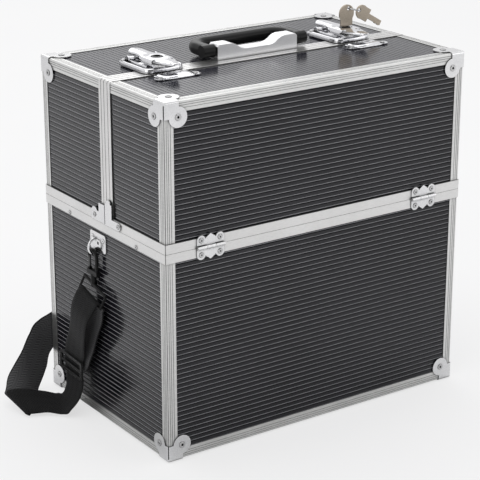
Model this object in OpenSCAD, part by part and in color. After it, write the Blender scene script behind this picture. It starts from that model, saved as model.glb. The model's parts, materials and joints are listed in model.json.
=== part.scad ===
// Makeup case with two outward-opening lids and cantilever trays.
// Millimetres, +Z up. The front faces -Y. The origin is the middle of the footprint, on the floor.

/* [Case] */
// Width over the aluminium edges
case_w = 360; // [330:1:420]
// Depth over the aluminium edges
case_d = 230; // [224:1:260]
// Height over the aluminium edges
case_h = 360; // [352:1:400]
// Height of the hinge line
seam_z = 214.65; // [210:0.05:220]
// Distance of the gap between the lids in front of the middle
seam_y = 21; // [18:0.5:24]
// Open gap between the two lids and over the base rim
seam_gap = 0.4; // [0.2:0.1:0.8]

/* [Edges and boards] */
// Width of the outer leg of an edge profile
leg = 10.5; // [9:0.5:12]
// Thickness of the outer legs
leg_t = 1.2; // [1:0.1:1.6]
// Thickness of the boards
board_t = 4; // [3:0.5:5]
// Thickness of the inner legs
inner_t = 1; // [0.8:0.1:1.4]
// Rounding of the outer edge
edge_r = 1.6; // [1:0.1:2]
// Width of the dark edging at the seam
edging_t = 1.8; // [1:0.1:2.4]
// Distance between ribs
rib_pitch = 5; // [4:0.1:7]
// Width of the groove between two ribs
rib_groove = 0.9; // [0.5:0.1:1.5]
// Height of a rib
rib_h = 0.6; // [0.4:0.1:0.9]

/* [Corner caps] */
// Thickness of a corner cap
cap_t = 1; // [0.8:0.1:1.4]
// Rivet distance from both edges
cap_at = 15; // [13:0.5:17]
// Radius of a lobe
lobe_r = 10; // [8:0.5:11]
// Radius of a cap rivet head
rivet_r = 3.2; // [2.5:0.1:3.6]

/* [Band and hinges] */
// Height of one half of the middle band
band_h = 9.3; // [8:0.1:11]
// How far the band stands out
band_out = 1.2; // [0.8:0.1:1.6]
// Hinge distance from each end
hinge_in = 49; // [40:1:70]
// Hinge width
hinge_w = 31; // [28:1:36]
// Hinge pin radius
pin_r = 1; // [0.8:0.1:1.2]
// Knuckle radius
knuckle_r = 1.7; // [1.6:0.1:1.7]

/* [Tray mechanism] */
// Arm pivot distance under the hinge line
arm_drop = 7.05; // [6.5:0.05:7.5]
// Reach of the lower link
reach_low = 30; // [29:0.5:31]
// Reach of the upper link
reach_high = 83; // [82:0.5:84]
// Arm width
arm_w = 9; // [8:0.5:10]
// Pivot shaft radius
shaft_r = 2; // [1.6:0.1:2.2]
// Tray wall thickness
tray_t = 1.5; // [1.2:0.1:2]
// Tray depth
tray_h = 38; // [30:1:38]
// Distance of the upper arm pin from the tray's inner edge line
tray_edge = 5.51; // [5:0.01:7]
// Thickness of an ear
ear_t = 2; // [1.6:0.1:2.4]

/* [Latches, handle and keys] */
// Latch distance from each end
latch_in = 64.4; // [60:0.2:80]
// Half length of the handle bracket
bracket_x = 48.5; // [44:0.5:54]
// Half width of the grip loop
grip_x = 63; // [58:0.5:68]
// Thickness of a key
key_t = 1.8; // [1.5:0.1:2.2]

/* [Strap] */
// Webbing width
web_w = 36; // [30:1:40]
// Webbing thickness
web_t = 1.6; // [1.2:0.1:2]
// Place of the snap hooks behind the middle
hook_y = 15; // [10:1:20]
// Height of the strap brackets under the seam
bracket_drop = 23.15; // [22:0.05:26]

/* [Hidden] */
$fn = 48;
fit = 0.05;
joint_gap = 0.1;
w2 = case_w / 2;
d2 = case_d / 2;
z0 = cap_t;
blk = leg_t + board_t + inner_t;
lid_base = seam_z + 0.15;
base_top = seam_z - 0.15;
web_low = base_top - 1.2;
web_high = lid_base + 1.2;
rim_in = blk + 1;
front_y = -seam_y;
rear_y = -seam_y + seam_gap;
strip_y = 0.5;
strip_out = 0.4;
slot_gap = 0.2;
field_gap = 0.15;
end_x = w2 - leg_t - board_t;
hinge_y = d2 + band_out + 2;
low_s = reach_low * cos(45);
high_s = reach_high * cos(45);
arm_t = 2;
arm_at = rim_in + 1.6;
arm_in = hinge_y - tray_edge - high_s;
ear_in = arm_at + arm_t + 0.7;
ear_face = w2 - ear_in - ear_t;
tray_end = ear_face - 0.6;
hinge_x = w2 - hinge_in;
latch_x = w2 - latch_in;
bracket_z = seam_z - bracket_drop;
hook_z = bracket_z - 16.5;
hook_x = -w2 - 3.8;
ring_z = hook_z - 42;
gate_y = hook_y + 7;
gate_z = hook_z - 13.3;
pin_y = 27;
pin_up = 6.5;
rivet_x = 20.2;
rivet_y = 29;

// Placing helpers

module to_corner(sx, sy) {
    mirror([sx > 0 ? 1 : 0, 0, 0]) mirror([0, sy > 0 ? 1 : 0, 0]) children();
}

module to_top() {
    translate([0, 0, case_h]) mirror([0, 0, 1]) children();
}

module to_sides() {
    children();
    mirror([1, 0, 0]) children();
}

module to_rear() {
    mirror([0, 1, 0]) children();
}

// Local X runs along the world X, local Y runs up, local Z points out of the front
module on_front() {
    rotate([90, 0, 0]) children();
}

// Local X runs along the world -Y, local Y runs up, local Z points out of the left end
module on_left() {
    rotate([90, 0, -90]) children();
}

module round_rect(hx, hy, r) {
    square([2 * hx - 2 * r, 2 * hy], center = true);
    square([2 * hx, 2 * hy - 2 * r], center = true);
    for (x = [-1, 1], y = [-1, 1]) translate([x * (hx - r), y * (hy - r)]) circle(r = r);
}

// Edge profiles

module edge_2d() {
    difference() {
        union() {
            translate([edge_r, edge_r]) circle(r = edge_r);
            translate([edge_r, 0]) square([leg - edge_r, leg_t]);
            translate([0, edge_r]) square([leg_t, leg - edge_r]);
            translate([edge_r, 0]) square([blk - edge_r, blk]);
            translate([0, edge_r]) square([blk, blk - edge_r]);
            translate([blk - 1, blk - inner_t]) square([leg - blk + 1, inner_t]);
            translate([blk - inner_t, blk - 1]) square([inner_t, leg - blk + 1]);
        }
        for (g = [2.6, 4.6, 7]) {
            translate([g - 0.3, -1]) square([0.6, 1.4]);
            translate([-1, g - 0.3]) square([1.4, 0.6]);
        }
    }
}

module post(from, to) {
    translate([-w2, -d2, from]) linear_extrude(height = to - from) edge_2d();
}

// Rail along X at the bottom front
module rail_x() {
    translate([-(w2 - leg - joint_gap), -d2, z0]) rotate([90, 0, 90])
        linear_extrude(height = 2 * (w2 - leg - joint_gap)) edge_2d();
}

// Rail along Y at the bottom left
module rail_y(from, to, z = z0) {
    translate([-w2, from, z]) rotate([-90, 0, 0]) rotate([0, 0, -90])
        linear_extrude(height = to - from) edge_2d();
}

// Boards: local XY plate with its outer face at local Z 0 and ribs along local X

module board(a0, a1, b0, b1, c0, c1, e0, e1) {
    n = 2 * floor((e1 - e0) / rib_pitch / 2) + 1;
    step = (e1 - e0) / n;
    translate([a0, b0, -board_t]) cube([a1 - a0, b1 - b0, board_t]);
    for (i = [0 : n - 1])
        translate([c0, e0 + i * step + rib_groove / 2, -0.3])
            cube([c1 - c0, step - rib_groove, rib_h + 0.3]);
}

// Shafts of all cap rivets, used for the rivets and for their bores
module cap_shafts(r, from, to, low = true, high = true, front = true, rear = true) {
    for (sx = [-1, 1], sy = [-1, 1], top = [false, true])
        if ((top ? high : low) && (sy < 0 ? front : rear)) to_corner(sx, sy) {
            zc = top ? case_h - cap_at : z0 + cap_at;
            translate([-w2 + cap_at, -d2 + to, zc]) rotate([90, 0, 0])
                cylinder(h = to - from, r = r);
            translate([-w2 + from, -d2 + cap_at, zc]) rotate([0, 90, 0])
                cylinder(h = to - from, r = r);
            translate([-w2 + cap_at, -d2 + cap_at, top ? case_h - to : z0 + from])
                cylinder(h = to - from, r = r);
        }
}

// One hollow rivet head, standing on local Z 0
module rivet_head(r, h, hole) {
    rotate_extrude() polygon([[hole, 0], [r, 0], [r, h * 0.4], [r - h * 0.5, h], [hole + 0.3, h],
        [hole, h - 0.3]]);
}

module cap_rivets(low = true, high = true, front = true, rear = true) {
    difference() {
        cap_shafts(rivet_r / 2, -cap_t, leg_t + board_t + 0.6, low, high, front, rear);
        cap_shafts(rivet_r / 2 - 0.5, -cap_t - 1, 2, low, high, front, rear);
    }
    for (sx = [-1, 1], sy = [-1, 1], top = [false, true])
        if ((top ? high : low) && (sy < 0 ? front : rear)) to_corner(sx, sy) {
            zc = top ? case_h - cap_at : z0 + cap_at;
            translate([-w2 + cap_at, -d2 - cap_t, zc]) rotate([90, 0, 0])
                rivet_head(rivet_r, 0.8, rivet_r / 2 - 0.5);
            translate([-w2 - cap_t, -d2 + cap_at, zc]) rotate([0, -90, 0])
                rivet_head(rivet_r, 0.8, rivet_r / 2 - 0.5);
            if (top) translate([-w2 + cap_at, -d2 + cap_at, case_h + cap_t])
                rivet_head(rivet_r, 0.8, rivet_r / 2 - 0.5);
            if (!top) translate([-w2 + cap_at, -d2 + cap_at, z0 - cap_t + 0.02]) mirror([0, 0, 1])
                mirror([0, 0, 1]) rotate_extrude()
                    polygon([[rivet_r / 2 - 0.5, 0], [rivet_r / 2, 0], [rivet_r / 2, 0.5],
                        [rivet_r / 2 - 0.5, 0.5]]);
        }
}

// Corner caps, drawn at the origin with the box towards +X +Y +Z

module corner_2d(r, l) {
    translate([r, r]) circle(r = r);
    translate([r, 0]) square([l - r, l]);
    translate([0, r]) square([l, l - r]);
}

module corner_block(r, l) {
    intersection() {
        linear_extrude(height = l) corner_2d(r, l);
        rotate([90, 0, 90]) linear_extrude(height = l) corner_2d(r, l);
        rotate([-90, 0, 0]) rotate([0, 0, -90]) linear_extrude(height = l) corner_2d(r, l);
    }
}

module lobe_2d() {
    translate([-2, -2]) square([cap_at + 3, cap_at + 3]);
    translate([cap_at, cap_at]) circle(r = lobe_r);
}

module corner_cap() {
    reach = cap_at + lobe_r + 2;
    difference() {
        intersection() {
            difference() {
                translate([-cap_t, -cap_t, -cap_t]) corner_block(edge_r + cap_t, reach + 4);
                corner_block(edge_r, reach + 8);
            }
            union() {
                translate([0, 0, -2]) linear_extrude(height = edge_r + 3) lobe_2d();
                translate([-2, 0, 0]) rotate([90, 0, 90]) linear_extrude(height = edge_r + 3)
                    lobe_2d();
                translate([0, -2, 0]) rotate([-90, 0, 0]) rotate([0, 0, -90])
                    linear_extrude(height = edge_r + 3) lobe_2d();
            }
        }
        rotate([0, 0, 45]) translate([-6, -0.5, 2.5]) cube([12, 1, reach]);
        translate([cap_at, cap_at, -3]) cylinder(h = 6, r = rivet_r / 2 + fit);
        translate([-3, cap_at, cap_at]) rotate([0, 90, 0]) cylinder(h = 6, r = rivet_r / 2 + fit);
        translate([cap_at, 3, cap_at]) rotate([90, 0, 0]) cylinder(h = 6, r = rivet_r / 2 + fit);
    }
}

module caps_low() {
    for (sx = [-1, 1], sy = [-1, 1])
        to_corner(sx, sy) translate([-w2, -d2, z0]) corner_cap();
}

module caps_high() {
    to_sides() to_top() translate([-w2, -d2, 0]) corner_cap();
}

// Middle band

module rim_low() {
    difference() {
        union() {
            translate([0, 0, base_top - band_h]) linear_extrude(height = band_h) difference() {
                round_rect(w2 + band_out, d2 + band_out, edge_r + band_out);
                round_rect(w2, d2, edge_r);
            }
            translate([0, 0, web_low]) linear_extrude(height = 1.2) difference() {
                round_rect(w2 + band_out, d2 + band_out, edge_r + band_out);
                square([case_w - 2 * rim_in, case_d - 2 * rim_in], center = true);
            }
            translate([0, 0, base_top - band_h]) linear_extrude(height = band_h) difference() {
                square([case_w - 2 * blk, case_d - 2 * blk], center = true);
                square([case_w - 2 * rim_in, case_d - 2 * rim_in], center = true);
            }
        }
        hinge_shafts(1.2 + fit, -1);
        arm_shafts(shaft_r + fit);
    }
}

module rim_high() {
    difference() {
        translate([0, 0, lid_base + base_top]) mirror([0, 0, 1]) union() {
            translate([0, 0, base_top - band_h]) linear_extrude(height = band_h) difference() {
                round_rect(w2 + band_out, d2 + band_out, edge_r + band_out);
                round_rect(w2, d2, edge_r);
            }
            translate([0, 0, web_low]) linear_extrude(height = 1.2) difference() {
                round_rect(w2 + band_out, d2 + band_out, edge_r + band_out);
                square([case_w - 2 * rim_in, case_d - 2 * rim_in], center = true);
            }
            translate([0, 0, base_top - band_h]) linear_extrude(height = band_h) difference() {
                square([case_w - 2 * blk, case_d - 2 * blk], center = true);
                square([case_w - 2 * rim_in, case_d - 2 * rim_in], center = true);
            }
        }
        hinge_shafts(1.2 + fit, 1);
    }
}

// Butterfly hinges, up = 1 for a lid leaf and -1 for a base leaf

module leaf_2d() {
    translate([-hinge_w / 2, 2.4]) square([hinge_w, 5.2]);
    for (x = [-1, 1]) translate([x * (hinge_w / 2 - 4.9), 7.2]) circle(r = 4.9);
    polygon([[-7.5, 6], [7.5, 6], [5, 9.4], [0, 12.8], [-5, 9.4]]);
}

module leaf(up) {
    w = hinge_w / 3 - 0.2;
    difference() {
        union() {
            difference() {
                translate([0, -d2 - band_out, seam_z]) mirror([0, 0, up > 0 ? 0 : 1]) on_front()
                    linear_extrude(height = 1) leaf_2d();
                for (x = [-1, 1]) translate([x * (hinge_w / 2 - 4.9), -d2, seam_z + up * 7.2])
                    rotate([90, 0, 0]) cylinder(h = 8, r = 1.2 + fit);
            }
            for (i = up > 0 ? [0] : [-1, 1]) {
                translate([i * hinge_w / 3 - w / 2, -hinge_y, seam_z]) rotate([0, 90, 0])
                    cylinder(h = w, r = knuckle_r);
                translate([i * hinge_w / 3 - w / 2, -d2 - band_out - 1,
                        up > 0 ? seam_z + 0.4 : seam_z - 2.6])
                    cube([w, 1, 2.2]);
            }
        }
        translate([-hinge_w, -hinge_y, seam_z]) rotate([0, 90, 0])
            cylinder(h = 2 * hinge_w, r = pin_r + fit);
    }
}

module leaf_pair(up) {
    for (x = [-hinge_x, hinge_x]) translate([x, 0, 0]) leaf(up);
}

module hinge_shafts(r, up) {
    for (sy = [-1, 1], x = [-hinge_x, hinge_x], i = [-1, 1]) to_corner(-1, sy)
        translate([x + i * (hinge_w / 2 - 4.9), -d2 + 0.4, seam_z + up * 7.2]) rotate([90, 0, 0])
            cylinder(h = band_out + 1.4, r = r);
}

module hinge_rivets(up) {
    for (x = [-hinge_x, hinge_x], i = [-1, 1])
        translate([x + i * (hinge_w / 2 - 4.9), -d2, seam_z + up * 7.2]) rotate([90, 0, 0]) {
            cylinder(h = band_out + 1, r = 1.2);
            translate([0, 0, band_out + 1]) rivet_head(2.6, 0.9, 0.7);
        }
}

// Tray mechanism, drawn for the front left and mirrored

module arm_shafts(r) {
    for (sx = [-1, 1], sy = [-1, 1]) to_corner(sx, sy)
        translate([-w2 - band_out - 1, -hinge_y + arm_in, seam_z - arm_drop]) rotate([0, 90, 0])
            cylinder(h = 20, r = r);
}

module arm_pivot() {
    translate([-w2 - band_out, -hinge_y + arm_in, seam_z - arm_drop]) {
        rotate([0, 90, 0]) cylinder(h = band_out + arm_at + arm_t + 0.3, r = shaft_r);
        rotate([0, -90, 0]) rivet_head(2.2, 0.8, 0.6);
        translate([band_out + rim_in, 0, 0]) rotate([0, 90, 0])
            cylinder(h = arm_at - 0.2 - rim_in, r = 3.4);
        translate([band_out + arm_at + arm_t + 0.3, 0, 0]) rotate([0, 90, 0])
            cylinder(h = 1.1, r = 3.4);
    }
}

module slot_bar(l, w, t) {
    linear_extrude(height = t) {
        translate([0, -w / 2]) square([l, w]);
        circle(r = w / 2);
        translate([l, 0]) circle(r = w / 2);
    }
}

module arm() {
    translate([-w2 + arm_at, -hinge_y + arm_in, seam_z - arm_drop]) difference() {
        rotate([90, 0, 90]) rotate([0, 0, 45]) slot_bar(reach_high, arm_w, arm_t);
        translate([-1, 0, 0]) rotate([0, 90, 0]) cylinder(h = 5, r = shaft_r + fit);
        translate([-1, low_s, low_s]) rotate([0, 90, 0]) cylinder(h = 5, r = shaft_r + fit);
        translate([-1, high_s, high_s]) rotate([0, 90, 0]) cylinder(h = 5, r = shaft_r + fit);
    }
}

module tray_link() {
    translate([-w2 + leg_t + board_t, -hinge_y, seam_z]) {
        translate([0, low_s, low_s]) rotate([90, 0, 90]) rotate([0, 0, 45])
            slot_bar(reach_high - reach_low, 10, 2.4);
        for (s = [low_s, high_s]) translate([0, s, s]) rotate([0, 90, 0])
            cylinder(h = 7.8, r = shaft_r);
    }
}

// Ear with the pin that runs in the arm
module arm_ear(s, z, up, t) {
    translate([-w2 + ear_in, -hinge_y + s, seam_z + z]) {
        rotate([90, 0, 90]) linear_extrude(height = t) {
            circle(r = 4.4);
            translate([-4.4, 0]) square([8.8, up]);
        }
        translate([-3.7, 0, 0]) rotate([0, 90, 0]) cylinder(h = 4.5, r = shaft_r);
        translate([-3.7, 0, 0]) rotate([0, 90, 0]) cylinder(h = 0.8, r = 3.2);
    }
}

// Ear with the hole for the pin of the lid link
module link_ear(s, z, up, t) {
    translate([-w2 + ear_in, -hinge_y + s, seam_z + z]) rotate([90, 0, 90])
        linear_extrude(height = t) difference() {
            union() {
                circle(r = 4.4);
                translate([-4.4, 0]) square([8.8, up]);
            }
            circle(r = shaft_r + 0.1);
        }
}

module tray_box(s0, s1, zb, end) {
    difference() {
        translate([0, (s0 + s1) / 2 - hinge_y, seam_z + zb]) linear_extrude(height = tray_h)
            round_rect(end, (s1 - s0) / 2, 5);
        for (i = [-1, 0, 1]) translate([i * (end - tray_t) * 2 / 3, (s0 + s1) / 2 - hinge_y,
                seam_z + zb + tray_t]) linear_extrude(height = tray_h)
            round_rect((end - tray_t) / 3 - 0.6, (s1 - s0) / 2 - tray_t, 3.5);
    }
}

module lower_tray() {
    tray_box(15, hinge_y - 2.2, low_s - 9.2, tray_end);
    to_sides() {
        arm_ear(arm_in + low_s, low_s - arm_drop, 14, ear_t + 1.2);
        link_ear(low_s, low_s, 12, ear_t + 1.2);
    }
}

module upper_tray() {
    tray_box(9, hinge_y - 1.7, high_s + 3.3, ear_face);
    to_sides() {
        arm_ear(arm_in + high_s, high_s - arm_drop, 18, ear_t + 0.6);
        link_ear(high_s, high_s, 11, ear_t + 0.6);
    }
}

// Base nodes

module base_front_board() {
    color([0.03, 0.03, 0.035]) difference() {
        base_face_board();
        cap_shafts(rivet_r / 2 + fit, -1, 9);
    }
}

module base_face_board() {
    translate([0, -d2 + leg_t, 0]) on_front()
        board(-w2 + blk + slot_gap, w2 - blk - slot_gap, z0 + blk + slot_gap, web_low,
            -w2 + leg + field_gap, w2 - leg - field_gap, z0 + leg + field_gap, web_low - 0.3);
}

module base_rear_board() {
    color([0.03, 0.03, 0.035]) difference() {
        to_rear() base_face_board();
        cap_shafts(rivet_r / 2 + fit, -1, 9);
    }
}

module base_end_boards() {
    color([0.03, 0.03, 0.035]) difference() {
        to_sides() translate([-w2 + leg_t, 0, 0]) on_left()
            board(-d2 + blk + slot_gap, d2 - blk - slot_gap, z0 + blk + slot_gap, web_low,
                -d2 + leg + field_gap, d2 - leg - field_gap, z0 + leg + field_gap, web_low - 0.3);
        cap_shafts(rivet_r / 2 + fit, -1, 9);
        arm_shafts(shaft_r + fit);
        to_sides() bracket_holes(1.2 + fit);
    }
}

module base_bottom_board() {
    color([0.03, 0.03, 0.035]) difference() {
        translate([0, 0, z0 + leg_t]) mirror([0, 0, 1])
            board(-w2 + blk + slot_gap, w2 - blk - slot_gap, -d2 + blk + slot_gap,
                d2 - blk - slot_gap, -w2 + leg + field_gap, w2 - leg - field_gap,
                -d2 + leg + field_gap, d2 - leg - field_gap);
        cap_shafts(rivet_r / 2 + fit, -1, 9);
    }
}

module base_edges() {
    color([0.78, 0.78, 0.78]) {
        for (sx = [-1, 1], sy = [-1, 1]) to_corner(sx, sy) post(z0 + 3, web_low);
        rail_x();
        to_rear() rail_x();
        to_sides() rail_y(-d2 + leg + joint_gap, d2 - leg - joint_gap);
    }
}

module base_rim() {
    color([0.8, 0.8, 0.8]) rim_low();
}

module base_caps() {
    color([0.85, 0.85, 0.86]) caps_low();
}

module base_rivets() {
    color([0.8, 0.8, 0.8]) {
        cap_rivets(high = false);
        hinge_rivets(-1);
        to_rear() hinge_rivets(-1);
    }
}

module base_hinge_leaves() {
    color([0.85, 0.85, 0.86]) {
        leaf_pair(-1);
        to_rear() leaf_pair(-1);
    }
}

module hinge_pins() {
    color([0.7, 0.7, 0.7]) for (sy = [-1, 1], x = [-hinge_x, hinge_x]) to_corner(-1, sy)
        translate([x - hinge_w / 2, -hinge_y, seam_z]) rotate([0, 90, 0])
            cylinder(h = hinge_w, r = pin_r);
}

module arm_pivots() {
    color([0.75, 0.75, 0.75]) for (sx = [-1, 1], sy = [-1, 1]) to_corner(sx, sy) arm_pivot();
}

// Strap bracket and snap hook on the left end

module bracket_holes(r) {
    for (y = [-15, 5]) translate([-w2 - 2, hook_y + y, bracket_z + 3.5]) rotate([0, 90, 0])
        cylinder(h = 9, r = r);
}

module strap_bracket() {
    difference() {
        translate([-w2 + leg_t - rib_h, hook_y - 5, bracket_z]) rotate([90, 0, -90])
            linear_extrude(height = 1.2) round_rect(15, 9.5, 3);
        bracket_holes(1.2 + fit);
        translate([-w2 - 2, hook_y - 6.5, bracket_z - 3]) cube([6, 3, 3]);
    }
    intersection() {
        translate([-w2 + leg_t - rib_h, hook_y, bracket_z - 6.1]) rotate([90, 0, 0])
            rotate_extrude() translate([9, 0]) circle(r = 1.4, $fn = 24);
        translate([-w2 - 20, hook_y - 15, bracket_z - 31]) cube([20.4, 40, 50]);
    }
    for (y = [-15, 5]) translate([-w2 + 6, hook_y + y, bracket_z + 3.5]) rotate([0, -90, 0]) {
        cylinder(h = 6 + 0.6, r = 1.2);
        translate([0, 0, 6.6]) rivet_head(2.4, 0.8, 0.6);
    }
}

module strap_brackets() {
    color([0.8, 0.8, 0.8]) to_sides() strap_bracket();
}

// Frame of round wire that the webbing runs through, tilted to lie along it
module strap_frame() {
    r = 1.2;
    y = web_w / 2 + 3;
    translate([hook_x, hook_y - 5.9, hook_z - 25.3]) rotate([16, 0, 0]) rotate([0, 17, 0]) {
        translate([0, y, -18.5]) rotate([90, 0, 0]) cylinder(h = 2 * y, r = r);
        translate([0, y, -4.5]) rotate([90, 0, 0]) cylinder(h = 2 * y, r = 1.6);
        for (i = [-1, 1]) {
            translate([0, i * y, -18.5]) cylinder(h = 14, r = r);
            translate([0, i * y, -18.5]) sphere(r = r);
            translate([0, i * y, -4.5]) sphere(r = 1.6);
        }
    }
}

module snap_hook() {
    translate([hook_x, hook_y, hook_z]) {
        intersection() {
            rotate([0, 90, 0]) rotate_extrude() translate([7, 0]) circle(r = 1.8, $fn = 24);
            translate([-5, -12, 0]) cube([10, 24, 12]);
        }
        translate([0, -7, -15]) cylinder(h = 15, r = 1.8, $fn = 24);
        difference() {
            translate([-2.2, -9.5, -19]) cube([4.4, 19, 5]);
            translate([-1.7, 4, -15.5]) cube([3.4, 10, 4]);
        }
        translate([0, 0, -31]) cylinder(h = 12.5, r = 3);
    }
    strap_frame();
}

module snap_hooks() {
    color([0.06, 0.06, 0.06]) to_sides() {
        snap_hook();
        translate([hook_x - 2.2, gate_y, gate_z]) rotate([0, 90, 0]) cylinder(h = 4.4, r = 0.8);
    }
}

module snap_gate() {
    difference() {
        translate([hook_x, gate_y, gate_z]) {
            translate([0, 0, 1.6]) cylinder(h = 11.4, r = 1.5, $fn = 24);
            rotate([0, 90, 0]) translate([0, 0, -1.4]) cylinder(h = 2.8, r = 1.6);
        }
        translate([hook_x - 8, gate_y, gate_z]) rotate([0, 90, 0])
            cylinder(h = 16, r = 0.8 + fit);
    }
}

module snap_gate_left() {
    color([0.3, 0.3, 0.3]) snap_gate();
}

module snap_gate_right() {
    color([0.3, 0.3, 0.3]) mirror([1, 0, 0]) snap_gate();
}

// Strap as a swept band through hand-chosen stations: [centre, direction across the webbing].
// From the adjuster it runs up, over the ring, down to the floor, folds over and goes behind.

ring_loop = [
    [[-w2 - 7.1, hook_y - 1.8, ring_z + 1], [0, 1, 0.29]],
    [[-w2 - 9.5, hook_y - 1, ring_z + 2.45], [0, 1, 0.29]],
    [[-w2 - 11.4, hook_y - 0.5, ring_z + 1.4], [0, 1, 0.29]],
    [[-w2 - 12.3, hook_y, ring_z - 0.6], [0, 1, 0.3]],
    [[-w2 - 15.2, hook_y + 2, ring_z - 7], [0, 1, 0.3]]
];
hanging = [
    [[-w2 - 19, hook_y + 4.5, ring_z - 18], [0.05, 1, 0.22]],
    [[-w2 - 20, hook_y + 7, ring_z - 33], [0.1, 1, 0.15]],
    [[-w2 - 17, hook_y + 16, 82], [0.1, 1, 0.1]],
    [[-w2 - 13.7, hook_y + 26.5, 64], [0, 1, 0.08]],
    [[-w2 - 13.6, hook_y + 29.5, 50], [0, 1, 0.05]],
    [[-w2 - 13.6, hook_y + 28.5, 34], [0.02, 1, 0.02]],
    [[-w2 - 16.5, hook_y + 28.5, 20], [0.12, 1, 0.02]],
    [[-w2 - 22, hook_y + 32, 9.7], [0.25, 0.97, 0.06]]
];
on_floor = [
    [[-w2 - 27, 53.3, 6], [0.3, 0.94, 0.16]],
    [[-w2 - 38, 61.8, 8], [0.3, 0.93, 0.23]],
    [[-w2 - 51, 67.5, 10], [0.12, 0.93, 0.35]],
    [[-w2 - 60.3, 70.8, 10.9], [-0.04, 0.91, 0.41]],
    [[-w2 - 64.8, 71.6, 11.1], [-0.14, 0.9, 0.42]],
    [[-w2 - 66.8, 72.8, 9.5], [-0.16, 0.9, 0.4]],
    [[-w2 - 65.6, 74.4, 7.6], [-0.16, 0.94, 0.27]]
];
rising = [
    [[-w2 - 58.8, d2 - 33.8, 9.5], [-0.2, 0.9, 0.36]],
    [[-w2 - 48.6, d2 - 23.5, 17.4], [-0.27, 0.68, 0.68]],
    [[-w2 - 34.2, d2 - 13, 29.5], [-0.24, 0.34, 0.91]],
    [[-w2 - 20.8, d2 - 5, 43.5], [-0.25, 0.27, 0.93]],
    [[-w2 - 8.5, d2 + 1.8, 55.5], [-0.22, 0.12, 0.97]],
    [[-w2 + 10, d2 + 2.2, 65], [-0.25, 0, 0.97]],
    [[-w2 + 60, d2 + 2.2, 85], [-0.22, 0, 0.97]]
];
adjuster_end = [
    [[-w2 - 11.6, hook_y + 29, 52], [0, 1, 0.05]],
    [[-w2 - 10.2, hook_y + 22, 61], [0, 1, 0.05]],
    [[-w2 - 8.6, hook_y + 13, 79], [0, 1, 0.1]],
    [[-w2 - 7.6, hook_y + 8, ring_z - 41], [0, 1, 0.15]],
    [[-w2 - 6.8, hook_y + 3.5, ring_z - 29], [0, 1, 0.2]],
    [[-w2 - 6.2, hook_y - 2.5, ring_z - 16], [0, 1, 0.28]],
    [[-w2 - 6.3, hook_y - 3.5, ring_z - 5], [0, 1, 0.3]]
];
sewn_end = [
    [[-w2 - 13.4, hook_y + 20, 75], [0.05, 1, 0.09]],
    [[-w2 - 14.8, hook_y + 15.5, 83], [0.1, 1, 0.1]],
    [[-w2 - 17.5, hook_y + 8, ring_z - 35], [0.1, 1, 0.15]],
    [[-w2 - 15, hook_y + 4, ring_z - 23], [0.05, 1, 0.2]],
    [[-w2 - 9.5, hook_y - 0.5, ring_z - 12], [0, 1, 0.27]],
    [[-w2 - 6.6, hook_y - 3, ring_z - 4.5], [0, 1, 0.3]]
];
half_way = [[[0, d2 + 2.2, 100], [0, 0, 1]]];

function turned(a) = [for (i = [len(a) - 1 : -1 : 0])
    [[-a[i][0][0], a[i][0][1], a[i][0][2]], [-a[i][1][0], a[i][1][1], a[i][1][2]]]];
run = concat(ring_loop, hanging, on_floor, rising);
stations = concat(adjuster_end, run, half_way, turned(concat(sewn_end, run)));

function unit(v) = v / norm(v);
function spline(a, b, c, d, t) = 0.5 * ((2 * b) + (c - a) * t + (2 * a - 5 * b + 4 * c - d) * t * t
    + (3 * b - a - 3 * c + d) * t * t * t);
function pick(i) = stations[min(max(i, 0), len(stations) - 1)];
strap_parts = 4;
strap_n = (len(stations) - 1) * strap_parts;
function strap_at(k) = let (i = min(floor(k / strap_parts), len(stations) - 2),
    t = k / strap_parts - i)
    [spline(pick(i - 1)[0], pick(i)[0], pick(i + 1)[0], pick(i + 2)[0], t),
     unit(spline(pick(i - 1)[1], pick(i)[1], pick(i + 1)[1], pick(i + 2)[1], t))];
function strap_dir(k) = unit(strap_at(min(k + 1, strap_n))[0] - strap_at(max(k - 1, 0))[0]);
function strap_ring(k) = let (p = strap_at(k)[0], r = strap_at(k)[1], d = strap_dir(k),
    x = cross(d, r), w = r * web_w / 2 / norm(x), n = unit(x) * web_t / 2)
    [p - w - n, p + w - n, p + w + n, p - w + n];

module shoulder_strap() {
    color([0.04, 0.04, 0.045]) polyhedron(
        points = [for (k = [0 : strap_n]) for (q = strap_ring(k)) q],
        faces = concat([[0, 1, 2], [0, 2, 3]],
            [for (k = [0 : strap_n - 1], j = [0 : 3]) let (a = 4 * k + j, b = 4 * k + (j + 1) % 4)
                [a, b + 4, b]],
            [for (k = [0 : strap_n - 1], j = [0 : 3]) let (a = 4 * k + j, b = 4 * k + (j + 1) % 4)
                [a, a + 4, b + 4]],
            [[4 * strap_n, 4 * strap_n + 2, 4 * strap_n + 1],
             [4 * strap_n, 4 * strap_n + 3, 4 * strap_n + 2]]));
}

// Three-bar slide just outside the webbing
module strap_adjuster() {
    color([0.05, 0.05, 0.05]) translate([-w2 - 15, hook_y + 29.5, 50.5]) on_left()
        rotate([0, 0, -3]) linear_extrude(height = 2.6) difference() {
            round_rect(web_w / 2 + 4, 10, 2.5);
            for (z = [-4.3, 4.3]) translate([0, z]) round_rect(web_w / 2 + 1, 2.9, 1);
        }
}

// Lid parts shared by both lids, drawn at the front

module lid_face_board() {
    translate([0, -d2 + leg_t, 0]) on_front()
        board(-w2 + blk + slot_gap, w2 - blk - slot_gap, web_high, case_h - blk - slot_gap,
            -w2 + leg + field_gap, w2 - leg - field_gap, web_high + 0.3,
            case_h - leg - field_gap);
}

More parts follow.
